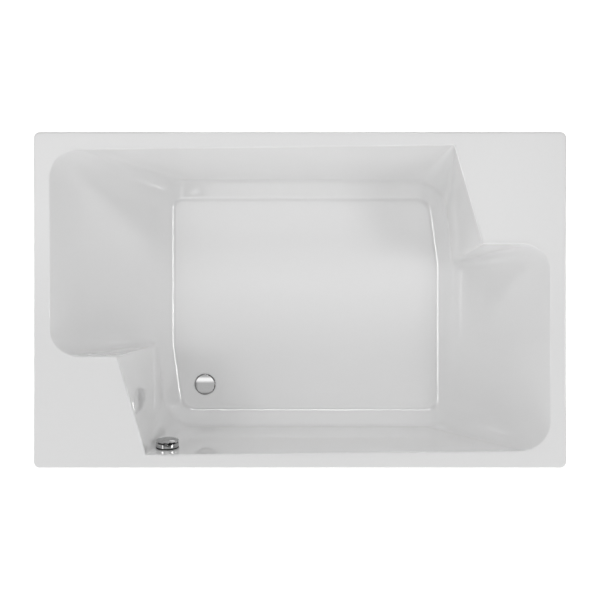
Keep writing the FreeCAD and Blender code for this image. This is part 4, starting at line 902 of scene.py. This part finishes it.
def foot_pad(number, place):
    """Moulded pad: a ribbed cone on a round base, with a blind socket for the spindle."""
    low, high = (corner.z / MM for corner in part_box(f"foot_pad_{number}"))
    base = low + PAD_BASE

    def profile(turn):
        share = PAD_RIB_LEVEL + PAD_RIB_STEEPNESS * math.cos(PAD_RIBS * turn)
        dip = PAD_RIB_DEPTH * min(1.0, max(0.0, share))
        cone = [(PAD_RADIUS - PAD_LEDGE, base), (PAD_RADIUS - PAD_CONE_SET - dip, base + EDGE_RADIUS),
                (PAD_TOP_RADIUS + EDGE_RADIUS - dip * PAD_RIB_TOP, high - EDGE_RADIUS)]
        foot = soft_profile([(0.0, low), (PAD_RADIUS, low), (PAD_RADIUS, base), cone[0]], EDGE_RADIUS)
        top = [(PAD_TOP_RADIUS, high), (SOCKET_RADIUS, high), (SOCKET_RADIUS, SOCKET_Z), (0.0, SOCKET_Z)]
        return foot + cone[1:] + top

    pad = turned(f"ribbed_pad_{number}", profile, even_turns(PAD_TURNS))
    pad.data.transform(Matrix.Translation(Vector((*place, 0.0)) * MM))
    settle(pad, SHARP_PAD)
    fit(pad, f"foot_{number}", "black_plastic", f"foot_pad_{number}")


def rail_screws():
    """Pan-head screws with a cross recess, their heads under the rails' flanges."""
    low, high = (corner.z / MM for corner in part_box("rail_screws"))
    seat = low + SCREW_HEAD

    def profile(turn):
        away = abs((turn + math.pi / 4) % (math.pi / 2) - math.pi / 4)
        arm = min(CROSS_ARM / 2 / max(math.sin(away), SMALLEST), CROSS_REACH)
        cross = [(0.0, low + CROSS_DEPTH), (arm * CROSS_TAPER, low + CROSS_DEPTH)]
        pan = soft_profile([(arm, low), (SCREW_HEAD_RADIUS, low), (SCREW_HEAD_RADIUS, seat),
                            (SCREW_RADIUS, seat)], EDGE_RADIUS)
        return cross + pan + [(SCREW_RADIUS, high - SCREW_RADIUS), (0.0, high)]

    screws = copies(turned("pan_head_screws", profile, even_turns(SCREW_TURNS)), SCREW_PLACES)
    settle(screws, SHARP_SCREW)
    fit(screws, "tub", "zinc_steel", "rail_screws")


def floor_and_backdrop():
    """Pale floor under the tub, and a pale wall far round it."""
    bm = bmesh.new()
    signs = ((-1, -1), (1, -1), (1, 1), (-1, 1))
    bm.faces.new([bm.verts.new((x * FLOOR_HALF, y * FLOOR_HALF, 0.0)) for x, y in signs])
    floor = mesh_object("studio_floor", bm)
    floor.data.materials.append(pale_board("matt_white_board_lit", FLOOR_GLOW))
    bm = bmesh.new()
    ring = [Vector((math.cos(turn), math.sin(turn))) * BACKDROP_DISTANCE
            for turn in even_turns(BACKDROP_TURNS)]
    skin(bm, [[(*point, z) for point in ring] for z in (0.0, BACKDROP_HEIGHT)])
    wall = mesh_object("studio_wall", bm)
    wall.data.materials.append(pale_board("matt_white_board", 0.0))


def room_light():
    """Faint even light, with the soft-edged panels in its upper half."""
    world = bpy.data.worlds.new("bright_room")
    bpy.context.scene.world = world
    world.use_nodes = True
    tree = world.node_tree
    place = add(tree, "ShaderNodeTexCoord", {})
    way = add(tree, "ShaderNodeSeparateXYZ", {"Vector": place.outputs["Generated"]})
    above = add(tree, "ShaderNodeMath", {0: way.outputs["Z"], 1: 0.0}, operation="GREATER_THAN")
    light = ROOM_LIGHT
    for strength, *sides in PANELS:
        panel = above.outputs["Value"]
        for axis, low, full, fades, gone in sides:
            tilt = add(tree, "ShaderNodeMath", {0: way.outputs[axis], 1: way.outputs["Z"]},
                       operation="DIVIDE")
            for start, end in ((low, full), (gone, fades)):
                edge = add(tree, "ShaderNodeMapRange", {"Value": tilt.outputs["Value"], "From Min": start,
                           "From Max": end}, interpolation_type="SMOOTHSTEP")
                panel = add(tree, "ShaderNodeMath", {0: panel, 1: edge.outputs["Result"]},
                            operation="MULTIPLY").outputs["Value"]
        light = add(tree, "ShaderNodeMath", {0: panel, 1: strength, 2: light},
                    operation="MULTIPLY_ADD").outputs["Value"]
    backdrop = tree.nodes["Background"]
    backdrop.inputs["Color"].default_value = linear("#ffffff")
    tree.links.new(light, backdrop.inputs["Strength"])


def lamps():
    """Lamps round the tub, each turned towards the middle of the rim."""
    middle = Vector((0.0, 0.0, RIM_Z * MM))
    for number, (turn, height, wide, high, watts) in enumerate(LAMPS, 1):
        turn = math.radians(turn)
        height = math.radians(height)
        level_way = Vector((math.cos(turn), math.sin(turn), 0.0)) * math.cos(height)
        away = level_way + Vector((0.0, 0.0, math.sin(height)))
        lamp = bpy.data.lights.new(f"lamp_{number}", "AREA")
        lamp.shape = "RECTANGLE"
        lamp.size = wide
        lamp.size_y = high
        lamp.energy = watts
        holder = bpy.data.objects.new(f"lamp_{number}", lamp)
        holder.location = middle + away * LAMP_DISTANCE
        holder.rotation_euler = away.to_track_quat("Z", "Y").to_euler()
        holder.visible_camera = False
        bpy.context.scene.collection.objects.link(holder)


def camera():
    """Photograph's view, from straight above."""
    lens = bpy.data.cameras.new("from_above")
    lens.lens = LENS
    lens.sensor_width = SENSOR
    eye = bpy.data.objects.new("from_above", lens)
    eye.location = (0.0, 0.0, CAMERA_HEIGHT + RIM_Z * MM)
    bpy.context.scene.collection.objects.link(eye)
    bpy.context.scene.camera = eye
    bpy.context.scene.view_settings.view_transform = "Standard"


tub_shell()
drain_flange()
plug_cap()
overflow_rosette()
overflow_knob()
hex_nuts("weld_nuts_hexagon", "weld_nuts")
hex_nuts("lock_nuts_hexagon", "lock_nuts")
rail_screws()
for number, place in enumerate(FOOT_PLACES, 1):
    foot_spindle(number, place)
    foot_pad(number, place)
for node, slot in SLOTS.items():
    part = frame["nodes"][node]
    part.data.materials.clear()
    part.data.materials.append(FINISHES[slot])
floor_and_backdrop()
room_light()
lamps()
camera()
